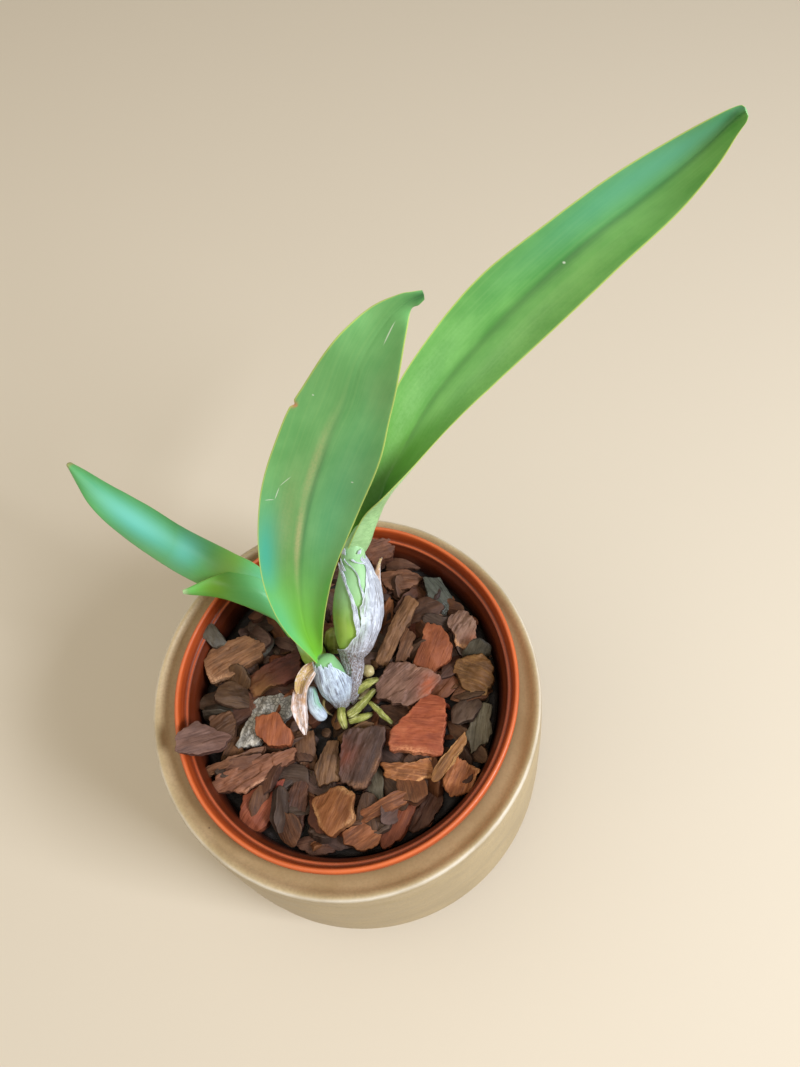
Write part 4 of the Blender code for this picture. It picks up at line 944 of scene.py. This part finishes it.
def nursery_offset(z):
    """How far the nursery pot's outer wall lies inside its rim at height z."""
    top = NURSERY_TOP - COLLAR_DEPTH
    lean = (NURSERY_MEAN - COLLAR_STEP - NURSERY_FOOT) / (top - POT_FLOOR)
    return COLLAR_STEP + lean * (top - z)


def nursery_pot():
    """The nursery pot's section: outside wall, flared collar, rolled top, a step and a
    moulding line inside it, then the inner wall. The rim is a little limp, and a thin
    ragged flash is left under the collar at the front left. The mark is the crests, rubbed
    and with a painted highlight, and painted shade in the groove below them and down the
    inner wall, deeper lower down."""
    base = POT_FLOOR + SOLID_GAP
    wall = [(nursery_offset(z), z) for z in (base + 0.6, 20, 40, 60, 80, 94, 101.5)]
    inner = [(nursery_offset(z) + NURSERY_WALL, z) for z in (103, 101, 98, 90, 80, 60, 40, 20, 9)]
    floor = [(nursery_offset(base) + NURSERY_WALL + 3, base + 1.6)]
    section = rounded([(nursery_offset(base) + 2.5, base)] + wall + COLLAR + inner + floor, 280)
    offset, z = section[:, 0], section[:, 1]
    wider = NURSERY_WIDER * np.clip((z - POT_FLOOR) / (NURSERY_TOP - POT_FLOOR), 0, 1)
    profile = np.stack([NURSERY_MEAN + wider - offset, NURSERY_MEAN - wider - offset, z], axis=1)
    rings = oval_rings(profile, NURSERY_SIDES, NURSERY_TURN)
    angle = np.arctan2(rings[..., 1], rings[..., 0]) % (2 * np.pi)
    limp = 0.25 * noise(spread(np.cos(angle), np.sin(angle), z[:, None] / 60), 0.45, 5)
    front_left = ease(195, 205, np.degrees(angle)) * ease(262, 250, np.degrees(angle))
    flash = ((offset < 0.4) & (z > 105.2) & (z < 107))[:, None] * front_left
    torn = 0.5 * flash * np.abs(noise(spread(angle * 60, 0, 0), 1.1, 12))
    push = limp * ease(60, 108, z)[:, None] + torn - 0.12
    rings = rings + unit(rings * (1, 1, 0)) * push[..., None]
    inside = np.arange(len(z)) > np.argmax(z)
    # crest: paler crests, rubbed and with a painted highlight
    crest = (bell(offset, 0.85, 0.45) * (z > 111) + bell(offset, 3.5, 0.2) * (z > 106)
             + bell(z, 105.8, 0.5) * (offset < 0.5))
    # groove: painted shade in the groove and down the inner wall, deeper lower down
    groove = inside * (bell(offset, 2.5, 0.55) * (z > 105.8) * 0.75
                       + ease(3.6, 3.85, offset) * (0.85 + 0.15 * ease(104, 96, z)))
    mark = spread(np.clip(crest, 0, 1)[:, None], 0, groove[:, None] + 0 * angle)
    piece("nursery_pot_moulded", [skin(rings, mark=mark)], PLASTIC, "nursery_plastic",
          "nursery_pot")


# Leaves

def washed(washes, across, along):
    """Strength of each kind of soft patch: a Gaussian across times a Gaussian along, with
    the middle drifting across as it goes up the blade."""
    shares = {kind: 0 * across * along for kind in ("painted_sheen", "pale", "deep")}
    for kind, middle, reach, place, length, strength, drift in washes:
        centre = middle + drift * (along - place)
        patch = strength * bell(across, centre, reach) * bell(along, place, length)
        shares[kind] = np.maximum(shares[kind], patch)
    return np.stack(list(shares.values()), axis=-1)


def leaf(name, node, stations, material, washes, fold=FOLDED, keel=0.7, groove=0.1, bite=None,
         brown_tip=0.0, under_wash=(0.1, 0.5, 0.0), flatten=0.0, cupped=0.0):
    """A blade between two margins and a midrib. Across it runs a straight chord from
    margin to margin, pushed out to the midrib by a hyperbola (less so above the foot, by
    the share flatten), and each flank sags by the station's amount times a sine. cupped
    rounds the fold at the foot, where the blade wraps its stalk. The upper face has a
    groove over the midrib and the lower face a keel under it. Thickness falls to the
    margin, which is rounded. A bite takes a small bell out of one margin: its place along
    in millimetres, depth and half width. under_wash is laid on the lower face, and there
    the mark runs past the young growth, so that it keeps one colour."""
    rows = [(*left, *middle, *right, sag) for left, middle, right, sag in stations]
    rails = smooth_path(rows, LEAF_STEPS)
    left, middle, right, sag = rails[:, 0:3], rails[:, 3:6], rails[:, 6:9], rails[:, 9:10]
    run = run_of(middle)[:, None]
    along = run / run[-1]
    across = np.sin(np.linspace(-np.pi / 2, np.pi / 2, LEAF_ACROSS))[None]
    side = np.abs(across)
    bend = fold + (max(cupped, fold) - fold) * ease(0.16, 0.04, along)
    reach = (np.sqrt(side ** 2 + bend ** 2) - bend) / (np.sqrt(1 + bend ** 2) - bend)
    hurt = brown_tip * ease(0.975, 0.995, along) + 0 * across
    nick = 0 * hurt
    if bite:
        place, depth, half = bite
        jagged = 1 + 0.35 * noise(spread(run[:, 0], 0, 0), 0.6, 4)
        nick = depth * bell(run, place, half) * jagged[:, None] * ease(-0.8, -1.0, across)
        hurt = hurt + bell(run, place, half * 1.4) * ease(-0.88, -0.95, across)
    chord = (left + right)[:, None] / 2 + (right - left)[:, None] / 2 * across[..., None]
    hollow = 1 - flatten * ease(0.15, 0.4, along)
    blade = chord + ((middle - (left + right) / 2) * hollow)[:, None] * (1 - reach[..., None])
    blade = blade + unit(middle - left)[:, None] * nick[..., None]
    normal = unit(np.cross(unit(np.gradient(middle, axis=0))[:, None], np.gradient(blade, axis=1)))
    normal = normal * np.sign(np.sum(normal[:, LEAF_ACROSS // 2] @ UP_FACE))
    edge_place = spread(run, 40 * np.sign(across), 0)
    ripple = 0.28 * noise(edge_place, 16, 7) + 0.08 * noise(edge_place, 5, 9)
    lift = ripple * side ** 3 * ease(0, 0.2, along) * ease(1, 0.9, along)
    lift = lift - sag * np.sin(np.pi * reach)
    blade = blade + normal * lift[..., None]
    taper = ease(-0.02, 0.04, along) * (0.25 + 0.75 * ease(1.0, 0.93, along))
    thick = MARGIN_THICKNESS + (LEAF_THICKNESS - MARGIN_THICKNESS) * (1 - reach) ** 1.5
    half_thick = thick * taper / 2 * np.sqrt(np.clip(1 - side ** 14, 0, 1))
    dip = groove * bell(side, 0, 0.05) * ease(0.0, 0.15, along)
    upper = blade + normal * (half_thick - dip)[..., None]
    under = (slice(None), slice(-2, 0, -1))
    lower = (blade - normal * (half_thick + keel * bell(side, 0, 0.1) * taper)[..., None])[under]
    width = np.linalg.norm(right - left, axis=1)[:, None] / 2
    lie = spread(across * width, run, 0)
    mark = spread(np.clip(hurt, 0, 1), across, along)
    wash = washed(washes, across, along)
    # The lower face takes three tenths of the upper face's patches, painted sheen and shade with
    # them, and under_wash on top
    both = {"lie": np.concatenate([lie, lie[under] + (0, 0, 50)], axis=1),
            "mark": np.concatenate([mark, mark[under] + (0, 0, 1)], axis=1),
            "wash": np.concatenate([wash, wash[under] * 0.3 + under_wash], axis=1)}
    piece(name, [skin(np.concatenate([upper, lower], axis=1), **both)], material, "leaf", node)


# Bulbs, husks and roots

def along_mark(share, turn):
    """The mark of a plain stem: only the share of its length."""
    return spread(share, 0 * turn, 0)


def stub_mark(share, turn):
    """The dry stub's mark: live green along its upper right side, brown at its foot."""
    green = bell(turn, 2.5, 0.8) * ease(0.8, 0.55, share)
    return spread(0.6 * bell(turn, 0.9, 0.5), green, ease(0.12, 0.02, share))


def stem(rows, steps, sides, flutes, flute_depth, lumps, seed, ends=(0.6, 0.6), taper=0.0,
         mark=along_mark):
    """A round stem: a circle carried along the path with each row's radius, with shallow
    flutes round it, lumps from noise, and rounded ends. taper thins it to the far end."""
    curve = smooth_path(rows, steps)
    path, radius = curve[:, :3], curve[:, 3:4]
    _, side, up = frames(path)
    turn = np.linspace(0, 2 * np.pi, sides, endpoint=False)[None]
    run = run_of(path)[:, None]
    share = run / run[-1]
    tall = np.minimum(run / (radius[0] * ends[0]), (run[-1] - run) / (radius[-1] * ends[1]))
    cap = np.sqrt(np.clip(1 - (1 - np.clip(tall, 0, 1)) ** 2, 0.0004, 1))
    cap = cap * (1 - taper * ease(0.5, 1, share))
    way = side[:, None] * np.cos(turn)[..., None] + up[:, None] * np.sin(turn)[..., None]
    place = path[:, None] + way * radius[..., None]
    reach = radius * cap * (1 + flute_depth * np.cos(flutes * turn + 0.6))
    reach = reach + lumps * cap * rough(place, 2.4, 3, seed)
    rings = path[:, None] + way * reach[..., None]
    return skin(rings, lie=spread(turn * radius.mean(), run, seed * 7.0), mark=mark(share, turn))


def husk(rows, wrap, seed, crumple, standoff=0.4, thickness=0.22, snug=0.0, tear=1.0,
         green=NO_GREEN, brown=(0, 0), steps=HUSK_STEPS, points=HUSK_POINTS):
    """A dry wrap round a bulb: the bulb's own section a little further out, between the
    angles of the wrap's rows. Both ends and both edges are torn back by noise, and
    creases run lengthwise. snug draws the upper end in to the bulb. green is the share of
    the length and the angle past which live green shows through, and how strongly; brown
    is full below its first share of the length and gone above its second."""
    fine = smooth_path(rows, 400)
    _, side, up = frames(fine[:, :3])
    edges = smooth_path(wrap, steps)
    v = np.linspace(0, 1, steps)[:, None]
    u = np.linspace(0, 1, points)[None]
    crosswise = spread(u * 14, 0 * v, seed)
    ragged = (noise(crosswise, 2.2, seed + 2) + 0.7 * noise(crosswise, 0.8, seed + 3)
              + 0.4 * noise(crosswise, 0.35, seed))
    foot = 0.02 * noise(crosswise, 1.3, seed + 1) * ease(0.3, 0, v)
    share = edges[:, :1] + tear * (0.05 * ragged * ease(0.5, 1, v) + foot)
    place = np.clip(share, 0, 1) * (len(fine) - 1)
    index = np.minimum(place.astype(int), len(fine) - 2)
    part = (place - index)[..., None]

    def read(table):
        """A table along the bulb, read at each point's share of its length."""
        return table[index] * (1 - part) + table[index + 1] * part

    lengthwise = spread(v * 30 + 0 * u, 0, seed)
    start = edges[:, 1:2] + 0.1 * tear * mottle(lengthwise, 3.0, 0.9, seed + 4)
    end = edges[:, 2:3] + 0.1 * tear * mottle(lengthwise, 2.6, 0.7, seed + 8)
    turn = start + (end - start) * u
    curve = read(fine)
    way = unit(read(side) * np.cos(turn)[..., None] + read(up) * np.sin(turn)[..., None])
    length = read(run_of(fine[:, :3])[:, None])[..., 0]
    arc = turn * HUSK_REACH
    wrinkle = spread(arc, length * 0.3, seed)
    crease = crumple * mottle(wrinkle, 1.9, 0.8, seed + 6)
    border = np.abs(2 * u - 1) ** 6 + 0 * v
    close = 1 - snug * ease(0.6, 1, v)
    outer_radius = curve[..., 3] + (standoff + crease + crumple + 0.6 * crumple * border) * close
    thin = thickness * (1 - 0.6 * border) * close
    torn = np.maximum(ease(0.94, 1.0, v + 0 * u), ease(0.93, 1.0, np.abs(2 * u - 1) + 0 * v))
    above, past, strength = green
    through = (strength * ease(above - 0.06, above + 0.06, share)
               * ease(past - 0.3, past + 0.3, turn))
    old = ease(brown[1] + 1e-6, brown[0], share)
    outer, inner = (curve[..., :3] + way * radius[..., None]
                    for radius in (outer_radius, outer_radius - thin))
    return slab(outer, inner, lie=spread(arc, length, seed * 11.0),
                mark=spread(torn * 0.8, through, old))


def strip(rows, seed, crumple=0.12, brown=(0, 0)):
    """A free strip of dry husk: a trough of the given width along the path, a parabola
    across, with creases lengthwise and a wavy edge. It is brown between the two shares of
    its length."""
    curve = smooth_path([(*place, width, *way) for place, width, way in rows], STRIP_STEPS)
    path, width, way = curve[:, :3], curve[:, 3:4], unit(curve[:, 4:7])
    tangent = unit(np.gradient(path, axis=0))
    way = unit(way - tangent * np.sum(way * tangent, axis=1, keepdims=True))
    face = np.cross(tangent, way)
    across = np.linspace(-1, 1, STRIP_POINTS)[None]
    run = run_of(path)[:, None]
    wide = width / 2 * (1 + 0.12 * noise(spread(run, 9 * np.sign(across), seed), 2.0, seed))
    grid = spread(across * wide, run * 0.3, seed)
    sag = STRIP_TROUGH * (across ** 2 - 1) * width + crumple * mottle(grid, 0.9, 0.45, seed + 1)
    middle = (path[:, None] + way[:, None] * (across * wide)[..., None]
              + face[:, None] * sag[..., None])
    pale = ease(0.45, 0.75, across + 0 * run) * 0.9
    share = run / run[-1]
    low, high = brown
    old = ease(low - 0.08, low + 0.08, share) * ease(high + 0.08, high - 0.08, share)
    half = face[:, None] * STRIP_THICKNESS / 2
    return slab(middle + half, middle - half, lie=spread(across * wide, run, seed * 11.0),
                mark=spread(pale, 0, old))


# Bark

OUTLINE_SPARE = 0.4     # the ragged outline stands this far outside the solid's plan
FACES = {
    "smooth": dict(ridge=0.05, terrace=0.15, lump=0.3, fray=0.55),
    "flaky": dict(ridge=0.12, terrace=0.7, lump=0.4, fray=0.75),
    "stringy": dict(ridge=0.22, terrace=0.3, lump=0.3, fray=0.5),
    "crumbly": dict(ridge=0.14, terrace=0.4, lump=0.75, fray=0.8),
}


def along_grain(places, angle):
    """Places in plan as how far they lie along the grain and across it."""
    return (places @ (math.cos(angle), math.sin(angle)),
            places @ (-math.sin(angle), math.cos(angle)))


def outline(corners, count, grain, fray, seed):
    """A chip's outline: its corners joined by straight breaks, slightly rounded, then
    frayed in and out by noise that is longer along the grain."""
    loop = np.vstack([corners, corners[:1]])
    run = run_of(loop)
    even = np.linspace(0, run[-1], count, endpoint=False)
    line = np.stack([np.interp(even, run, loop[:, 0]), np.interp(even, run, loop[:, 1])], axis=-1)
    for _ in range(max(1, count // 50)):
        line = (np.roll(line, 1, axis=0) + 2 * line + np.roll(line, -1, axis=0)) / 4
    tangent = np.roll(line, -1, axis=0) - np.roll(line, 1, axis=0)
    area = np.sum(line[:, 0] * np.roll(line[:, 1], -1) - line[:, 1] * np.roll(line[:, 0], -1))
    out = unit(np.stack([tangent[:, 1], -tangent[:, 0]], axis=-1)) * np.sign(area)
    turned = spread(*along_grain(line, grain), 0)
    ragged = noise(turned, (6, 3, 9), seed) + 0.7 * noise(turned, (2.6, 1.1, 9), seed + 1)
    ragged = ragged + 0.4 * noise(turned, (1.1, 0.5, 9), seed + 2)
    return line + out * (fray * ragged + OUTLINE_SPARE)[:, None]


def facets(rel, extent, seed, steep):
    """How far broken facets cut the upper face down: for each of four directions, a soft
    ramp that starts some way out from the middle."""
    draw = np.random.default_rng(seed)
    turn = draw.uniform(0, 2 * np.pi) + np.arange(4) * np.pi / 2 + draw.uniform(-0.5, 0.5, 4)
    start = draw.uniform(0.15, 0.75, 4) * extent
    slope = draw.uniform(0.1, 1.0, 4) * steep
    total = 0
    for k in range(4):
        past = rel @ (math.cos(turn[k]), math.sin(turn[k])) - start[k]
        total = total + slope[k] * (past + np.sqrt(past ** 2 + 0.15)) / 2
    return total


def chip(corners, top, slope, depth, grain, face, seed, value, warmth, grid, patch=None, torn=()):
    """A flake of bark: rings shrink from the outline to the middle of the upper face and
    of the lower one, with the broken side between. The upper face is cut into facets,
    ridged along the grain, and steps down where a layer has flaked off; the side is
    pushed in and out layer by layer."""
    look = FACES[face]
    angle = math.radians(grain)
    corners = np.asarray(corners, dtype=float)
    sides, top_rings, side_rings, low_rings = grid
    edge = outline(corners, sides, angle, look["fray"], seed)
    centre = corners.mean(axis=0)
    share = np.concatenate([np.linspace(0.05, 0.95, top_rings) ** 0.85, [0.985],
                            np.ones(side_rings + 1), np.linspace(0.85, 0.3, low_rings)])
    level = np.concatenate([np.zeros(top_rings), [0.02], np.linspace(0.08, 0.93, side_rings),
                            [0.98], np.ones(low_rings)])
    plan = centre + (edge - centre)[None] * share[:, None, None]
    rel = plan - centre
    grain_x, grain_y = along_grain(rel, angle)
    flat = spread(grain_x, grain_y, seed * 3.1)
    extent = np.abs(grain_y).max()
    flakes = 1.3 * noise(flat, (14, 6, 9), seed + 8) + 0.25 * noise(flat, (2.5, 1.2, 9), seed + 9)
    stair = np.floor(flakes) + ease(0.4, 0.6, flakes - np.floor(flakes))
    relief = (look["ridge"] * mottle(flat, (8, 0.9, 9), (3, 0.45, 9), seed + 3)
              + look["lump"] * rough(flat, (7, 3.6, 9), 3, seed + 5) + look["terrace"] * stair
              - facets(rel, extent, seed, 0.42))
    upper = (level < 0.05)[:, None]
    fade = np.where(upper, 1.0, np.clip(1 - level[:, None] * 1.6, 0, 1))
    z = top + rel @ np.array(slope) - depth * level[:, None] + relief * fade
    strata = spread(edge[None, :, 0], edge[None, :, 1], (level * depth)[:, None])
    broken = ((level > 0.03) & (level < 0.99))[:, None]
    push = 0.4 * noise(strata, (9, 9, 0.9), seed + 10) + 0.2 * noise(strata, (2, 2, 0.5), seed + 11)
    push = (push - 0.6 * level[:, None] ** 2) * broken
    rings = np.concatenate([plan + unit(rel) * push[..., None], z[..., None]], axis=-1)
    crest = np.abs(flakes - np.floor(flakes) - 0.5) < 0.06
    worn = upper * (0.8 * ease(0.93, 0.985, share)[:, None]
                    + 0.5 * crest * (look["terrace"] > 0.25))
    second, fresh = 0 * grain_x, 0 * grain_x
    if patch:
        second = bell(np.linalg.norm(plan - patch[:2], axis=-1), 0, patch[2])
    for x, y, reach in torn:
        near = bell(np.linalg.norm(plan - (x, y), axis=-1), 0, reach)
        fresh = np.maximum(fresh, near * ease(0.72, 0.95, share)[:, None])
    lie = spread(grain_x, grain_y + seed * 17.0, seed * 5.0 - (level * depth)[:, None])
    return skin(rings, lie=lie, mark=spread(np.clip(worn, 0, 1), second, broken),
                tone=spread(value, warmth, fresh))


def turned_skin(made, turn, tilt, lean, place):
    """A skin turned about +Z, tipped about +X and +Y, and moved to its place."""
    points, groups, marks = made
    matrix = Matrix.Rotation(turn, 3, "Z") @ Matrix.Rotation(tilt, 3, "X")
    matrix = matrix @ Matrix.Rotation(lean, 3, "Y")
    return points @ np.array(matrix).T + place, groups, marks


def inside_nursery(x, y, spare):
    """How far a place in plan lies towards the nursery pot's wall, less spare: 1 at it."""
    along = x * math.cos(NURSERY_TURN) + y * math.sin(NURSERY_TURN)
    across = -x * math.sin(NURSERY_TURN) + y * math.cos(NURSERY_TURN)
    wall = nursery_offset(98.0) + NURSERY_WALL + spare
    return (along / (NURSERY_RIM[0] - wall)) ** 2 + (across / (NURSERY_RIM[1] - wall)) ** 2


def small_chips(count, length, width, thickness, heights, tip, grid, seed, inner):
    """Loose smaller chips strewn over the bed: ragged polygons, tipped at random and
    darker than the big ones, as painted shade in the gaps. Returns them grouped by bark
    tone. inner keeps them that far out from the middle, as a share of the way to the wall."""
    draw = np.random.default_rng(seed)
    names, weights = list(STREWN_TONES), np.array(list(STREWN_TONES.values()))
    tones = {name: [] for name in names}
    while sum(map(len, tones.values())) < count:
        x, y = draw.uniform(-60, 60, 2)
        long, wide, thick = draw.uniform(*length), draw.uniform(*width), draw.uniform(*thickness)
        if not inner < inside_nursery(x, y, 1.5 + long / 2.6) < 1:
            continue
        number = draw.integers(5, 8)
        turns = np.linspace(0, 2 * np.pi, number, endpoint=False)
        turns = turns + draw.uniform(-0.35, 0.35, number)
        corners = np.stack([np.cos(turns) * long / 2, np.sin(turns) * wide / 2], axis=-1)
        tone = names[draw.choice(len(names), p=weights)]
        face = ("smooth", "smooth", "flaky", "stringy")[draw.integers(0, 4)]
        # A low value: painted shade
        made = chip(corners, 0.0, (0.0, 0.0), thick, 0.0, face, int(draw.integers(1, 9999)),
                    float(draw.uniform(-0.2, 0.25)), float(draw.uniform(0, 1)), grid)
        place = (x, y, draw.uniform(*heights))
        turn = draw.uniform(0, 2 * np.pi)
        tones[tone].append(turned_skin(made, turn, *draw.normal(0, tip, 2), place))
    return tones


def bark_bed():
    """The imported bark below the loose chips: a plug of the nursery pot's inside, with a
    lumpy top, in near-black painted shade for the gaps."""
    top_rings = 60
    levels = np.concatenate([[9, 30, 60, 85], np.linspace(90, BED_TOP, 4)])
    shares = np.concatenate([np.ones(len(levels)), np.linspace(0.97, 0.03, top_rings)])
    z = np.concatenate([levels, np.full(top_rings, BED_TOP)])
    reach = NURSERY_MEAN - nursery_offset(z) - NURSERY_WALL - 0.5
    profile = np.stack([(reach + NURSERY_WIDER) * shares, (reach - NURSERY_WIDER) * shares, z],
                       axis=1)
    rings = oval_rings(profile, 180, NURSERY_TURN)
    on_top = (np.arange(len(z)) >= len(levels) - 1)[:, None]
    rings[..., 2] += on_top * (0.9 * rough(rings * (1, 1, 0), 6.0, 4, 21))
    made = skin(rings, lie=rings, mark=(0.0, 0.0, 0.0), tone=(0.5, 0.5, 0.0))
    piece("packed_bark", [made], BARKS["dark"], "bark_dark", "bark_bed")


cover_pot()
nursery_pot()
bark_bed()

leaf("leaf_long_blade", "leaf_long", LEAF_LONG, LONG_BLADE, LONG_WASHES,
     under_wash=(0.1, 0.95, 0.0), cupped=ARCHED)
leaf("leaf_centre_blade", "leaf_centre", LEAF_CENTRE, CENTRE_BLADE, CENTRE_WASHES, SHALLOW,
     bite=(100.3, 0.9, 0.8), flatten=0.45)
leaf("leaf_left_blade", "leaf_left", LEAF_LEFT, YOUNG_BLADE, LEFT_WASHES, ARCHED,
     keel=0.0, groove=0.0, brown_tip=0.5)
leaf("leaf_left_bract_blade", "leaf_left_bract", BRACT_LEFT, BRACT_BLADE, BRACT_WASHES, ARCHED,
     keel=0.0, groove=0.0)

# Round skins: rings along, points round, flutes, how deep they are, lumps and seed
for name, node, rows, shape, material, slot in (
        ("bulb_back", "pseudobulb_back", BULB_BACK + LEAF_STALK, (190, 80, 5, 0.012, 0.06, 1),
         GREEN_BULB, "bulb"),
        ("bulb_front", "pseudobulb_front", BULB_FRONT, (90, 64, 5, 0.015, 0.06, 2), BLUE_BULB,
         "bulb"),
        ("bulb_left", "pseudobulb_left", BULB_LEFT, (80, 56, 6, 0.02, 0.1, 3), GREEN_BULB, "bulb"),
        ("bulb_old", "pseudobulb_old", BULB_OLD, (60, 48, 6, 0.05, 0.15, 4), OLD_BULB, "bulb"),
        ("rhizome", "rhizome", RHIZOME, (90, 40, 0, 0.0, 0.4, 5), OLD_ROOT, "root"),
        ("bud", "new_bud", BUD, (40, 36, 5, 0.03, 0.05, 6), CREAM_BUD, "bulb")):
    piece(f"{name}_skin", [stem(rows, *shape)], material, slot, node)
for number, (name, rows) in enumerate(ROOTS.items()):
    piece(f"{name}_skin", [stem(rows, 80, 36, 0, 0.0, 0.22, 20 + number, (0.9, 0.9), 0.25)],
          ROOT, "root", name)

piece("husk_back_sheath", [husk(WRAPPED, HUSK_BACK, 41, 0.32, snug=0.8, green=(0.4, 1.1, 0.8),
                               brown=(0.3, 0.46))],
      SILVER_HUSK, "husk", "husk_back")
strands = [husk(WRAPPED, wrap, 61 + number, 0.08, 0.75, 0.3, tear=0.2, steps=60, points=7)
           for number, wrap in enumerate(STRANDS)]
piece("husk_back_strands", strands, SILVER_HUSK, "husk")
piece("husk_front_sheath", [husk(BULB_FRONT, HUSK_FRONT, 42, 0.28, 0.9, snug=0.4,
                                 brown=(0.18, 0.42))],
      BLUE_HUSK, "husk", "husk_front")
piece("husk_stub_sheath", [stem(STUB, 80, 56, 3, 0.03, 0.12, 30, (0.6, 1.0), mark=stub_mark)],
      BLUE_HUSK, "husk", "husk_stub")
piece("husk_hook_strand", [stem(HOOK, 60, 12, 0, 0.0, 0.1, 31)], OLD_ROOT, "dry_husk")
piece("husk_curl_strip", [strip(CURL_TOP, 51, brown=(0.0, 1.2)), strip(CURL_DRY, 53),
                          strip(CURL_EDGE, 54, 0.05)], TAN_HUSK, "dry_husk", "husk_curl")
piece("husk_spike_strip", [strip(SPIKE_DRY, 52, brown=(0.7, 1.2))], TAN_HUSK, "dry_husk",
      "husk_spike")

for number, (name, corners, top, slope, depth, tone, grain, face) in enumerate(CHIPS):
    value, warmth = CHIP_VALUE.get(name, PLAIN_VALUE), (number * WARMTH_STEP) % 1
    made = chip(corners, top, slope, depth, grain, face, 100 + number, value, warmth, FINE_CHIP,
                CHIP_PATCHES.get(name), CHIP_TORN.get(name, ()))
    piece(f"bark_{name}_chip", [made], BARKS[CHIP_BARK.get(name, tone)], f"bark_{tone}",
          f"bark_{name}", sharp=BREAK_ANGLE)

for label, row in STREWN.items():
    for tone, skins in small_chips(*row).items():
        piece(f"bark_{label}_{tone}", skins, BARKS[tone], f"bark_{tone}", sharp=BREAK_ANGLE)


# Stage, light and camera

def stage():
    """A plain pale floor, far wider than the pot."""
    reach = 4.0
    corners = [(-reach, -reach, 0), (reach, -reach, 0), (reach, reach, 0), (-reach, reach, 0)]
    mesh = bpy.data.meshes.new("pale_floor")
    mesh.from_pydata(corners, [], [(0, 1, 2, 3)])
    floor = bpy.data.objects.new("pale_floor", mesh)
    _, finish = new_material("pale_floor_paint", Base_Color="#d9ceb9", Roughness=0.8)
    mesh.materials.append(finish())
    bpy.context.scene.collection.objects.link(floor)


def soft_light(name, place, aim, size, power, colour):
    """A square studio panel that looks at aim, both in metres."""
    data = bpy.data.lights.new(name, "AREA")
    data.shape = "SQUARE"
    data.size = size
    data.energy = power
    data.color = linear(colour)[:3]
    lamp = bpy.data.objects.new(name, data)
    lamp.location = place
    lamp.rotation_euler = (Vector(aim) - Vector(place)).to_track_quat("-Z", "Y").to_euler()
    lamp.visible_camera = False
    bpy.context.scene.collection.objects.link(lamp)


def camera():
    """The camera at its place, tilted towards the back and rolled about its own axis."""
    data = bpy.data.cameras.new("view")
    data.sensor_width = SENSOR_HEIGHT      # Blender gives it to the longer side
    data.lens = SENSOR_HEIGHT * FOCAL_PIXELS / PICTURE_HEIGHT
    data.clip_start = 0.01
    forward = Vector((0, math.sin(CAMERA_TILT), -math.cos(CAMERA_TILT)))
    level_up = Vector((0, math.cos(CAMERA_TILT), math.sin(CAMERA_TILT)))
    level_right = Vector((1, 0, 0))
    right = level_right * math.cos(CAMERA_ROLL) + level_up * math.sin(CAMERA_ROLL)
    up = level_up * math.cos(CAMERA_ROLL) - level_right * math.sin(CAMERA_ROLL)
    made = bpy.data.objects.new("view", data)
    rows = [(right[k], up[k], -forward[k], CAMERA_PLACE[k] * MM) for k in range(3)]
    made.matrix_world = Matrix(rows + [(0, 0, 0, 1)])
    bpy.context.scene.collection.objects.link(made)
    bpy.context.scene.camera = made


stage()
soft_light("window_panel", (0.76, -0.4, 0.86), (0, 0, 0.12), 0.35, 13.2, "#eef3ff")
soft_light("ceiling_panel", (-0.5, -0.1, 1.5), (0, 0, 0.1), 1.8, 12.2, "#fff4e4")
world = bpy.data.worlds.new("pale_room")
world.use_nodes = True
world.node_tree.nodes["Background"].inputs[0].default_value = linear("#f6f0e6")
world.node_tree.nodes["Background"].inputs[1].default_value = 0.34
bpy.context.scene.world = world
bpy.context.scene.view_settings.view_transform = "Standard"
camera()

bpy.context.view_layer.update()
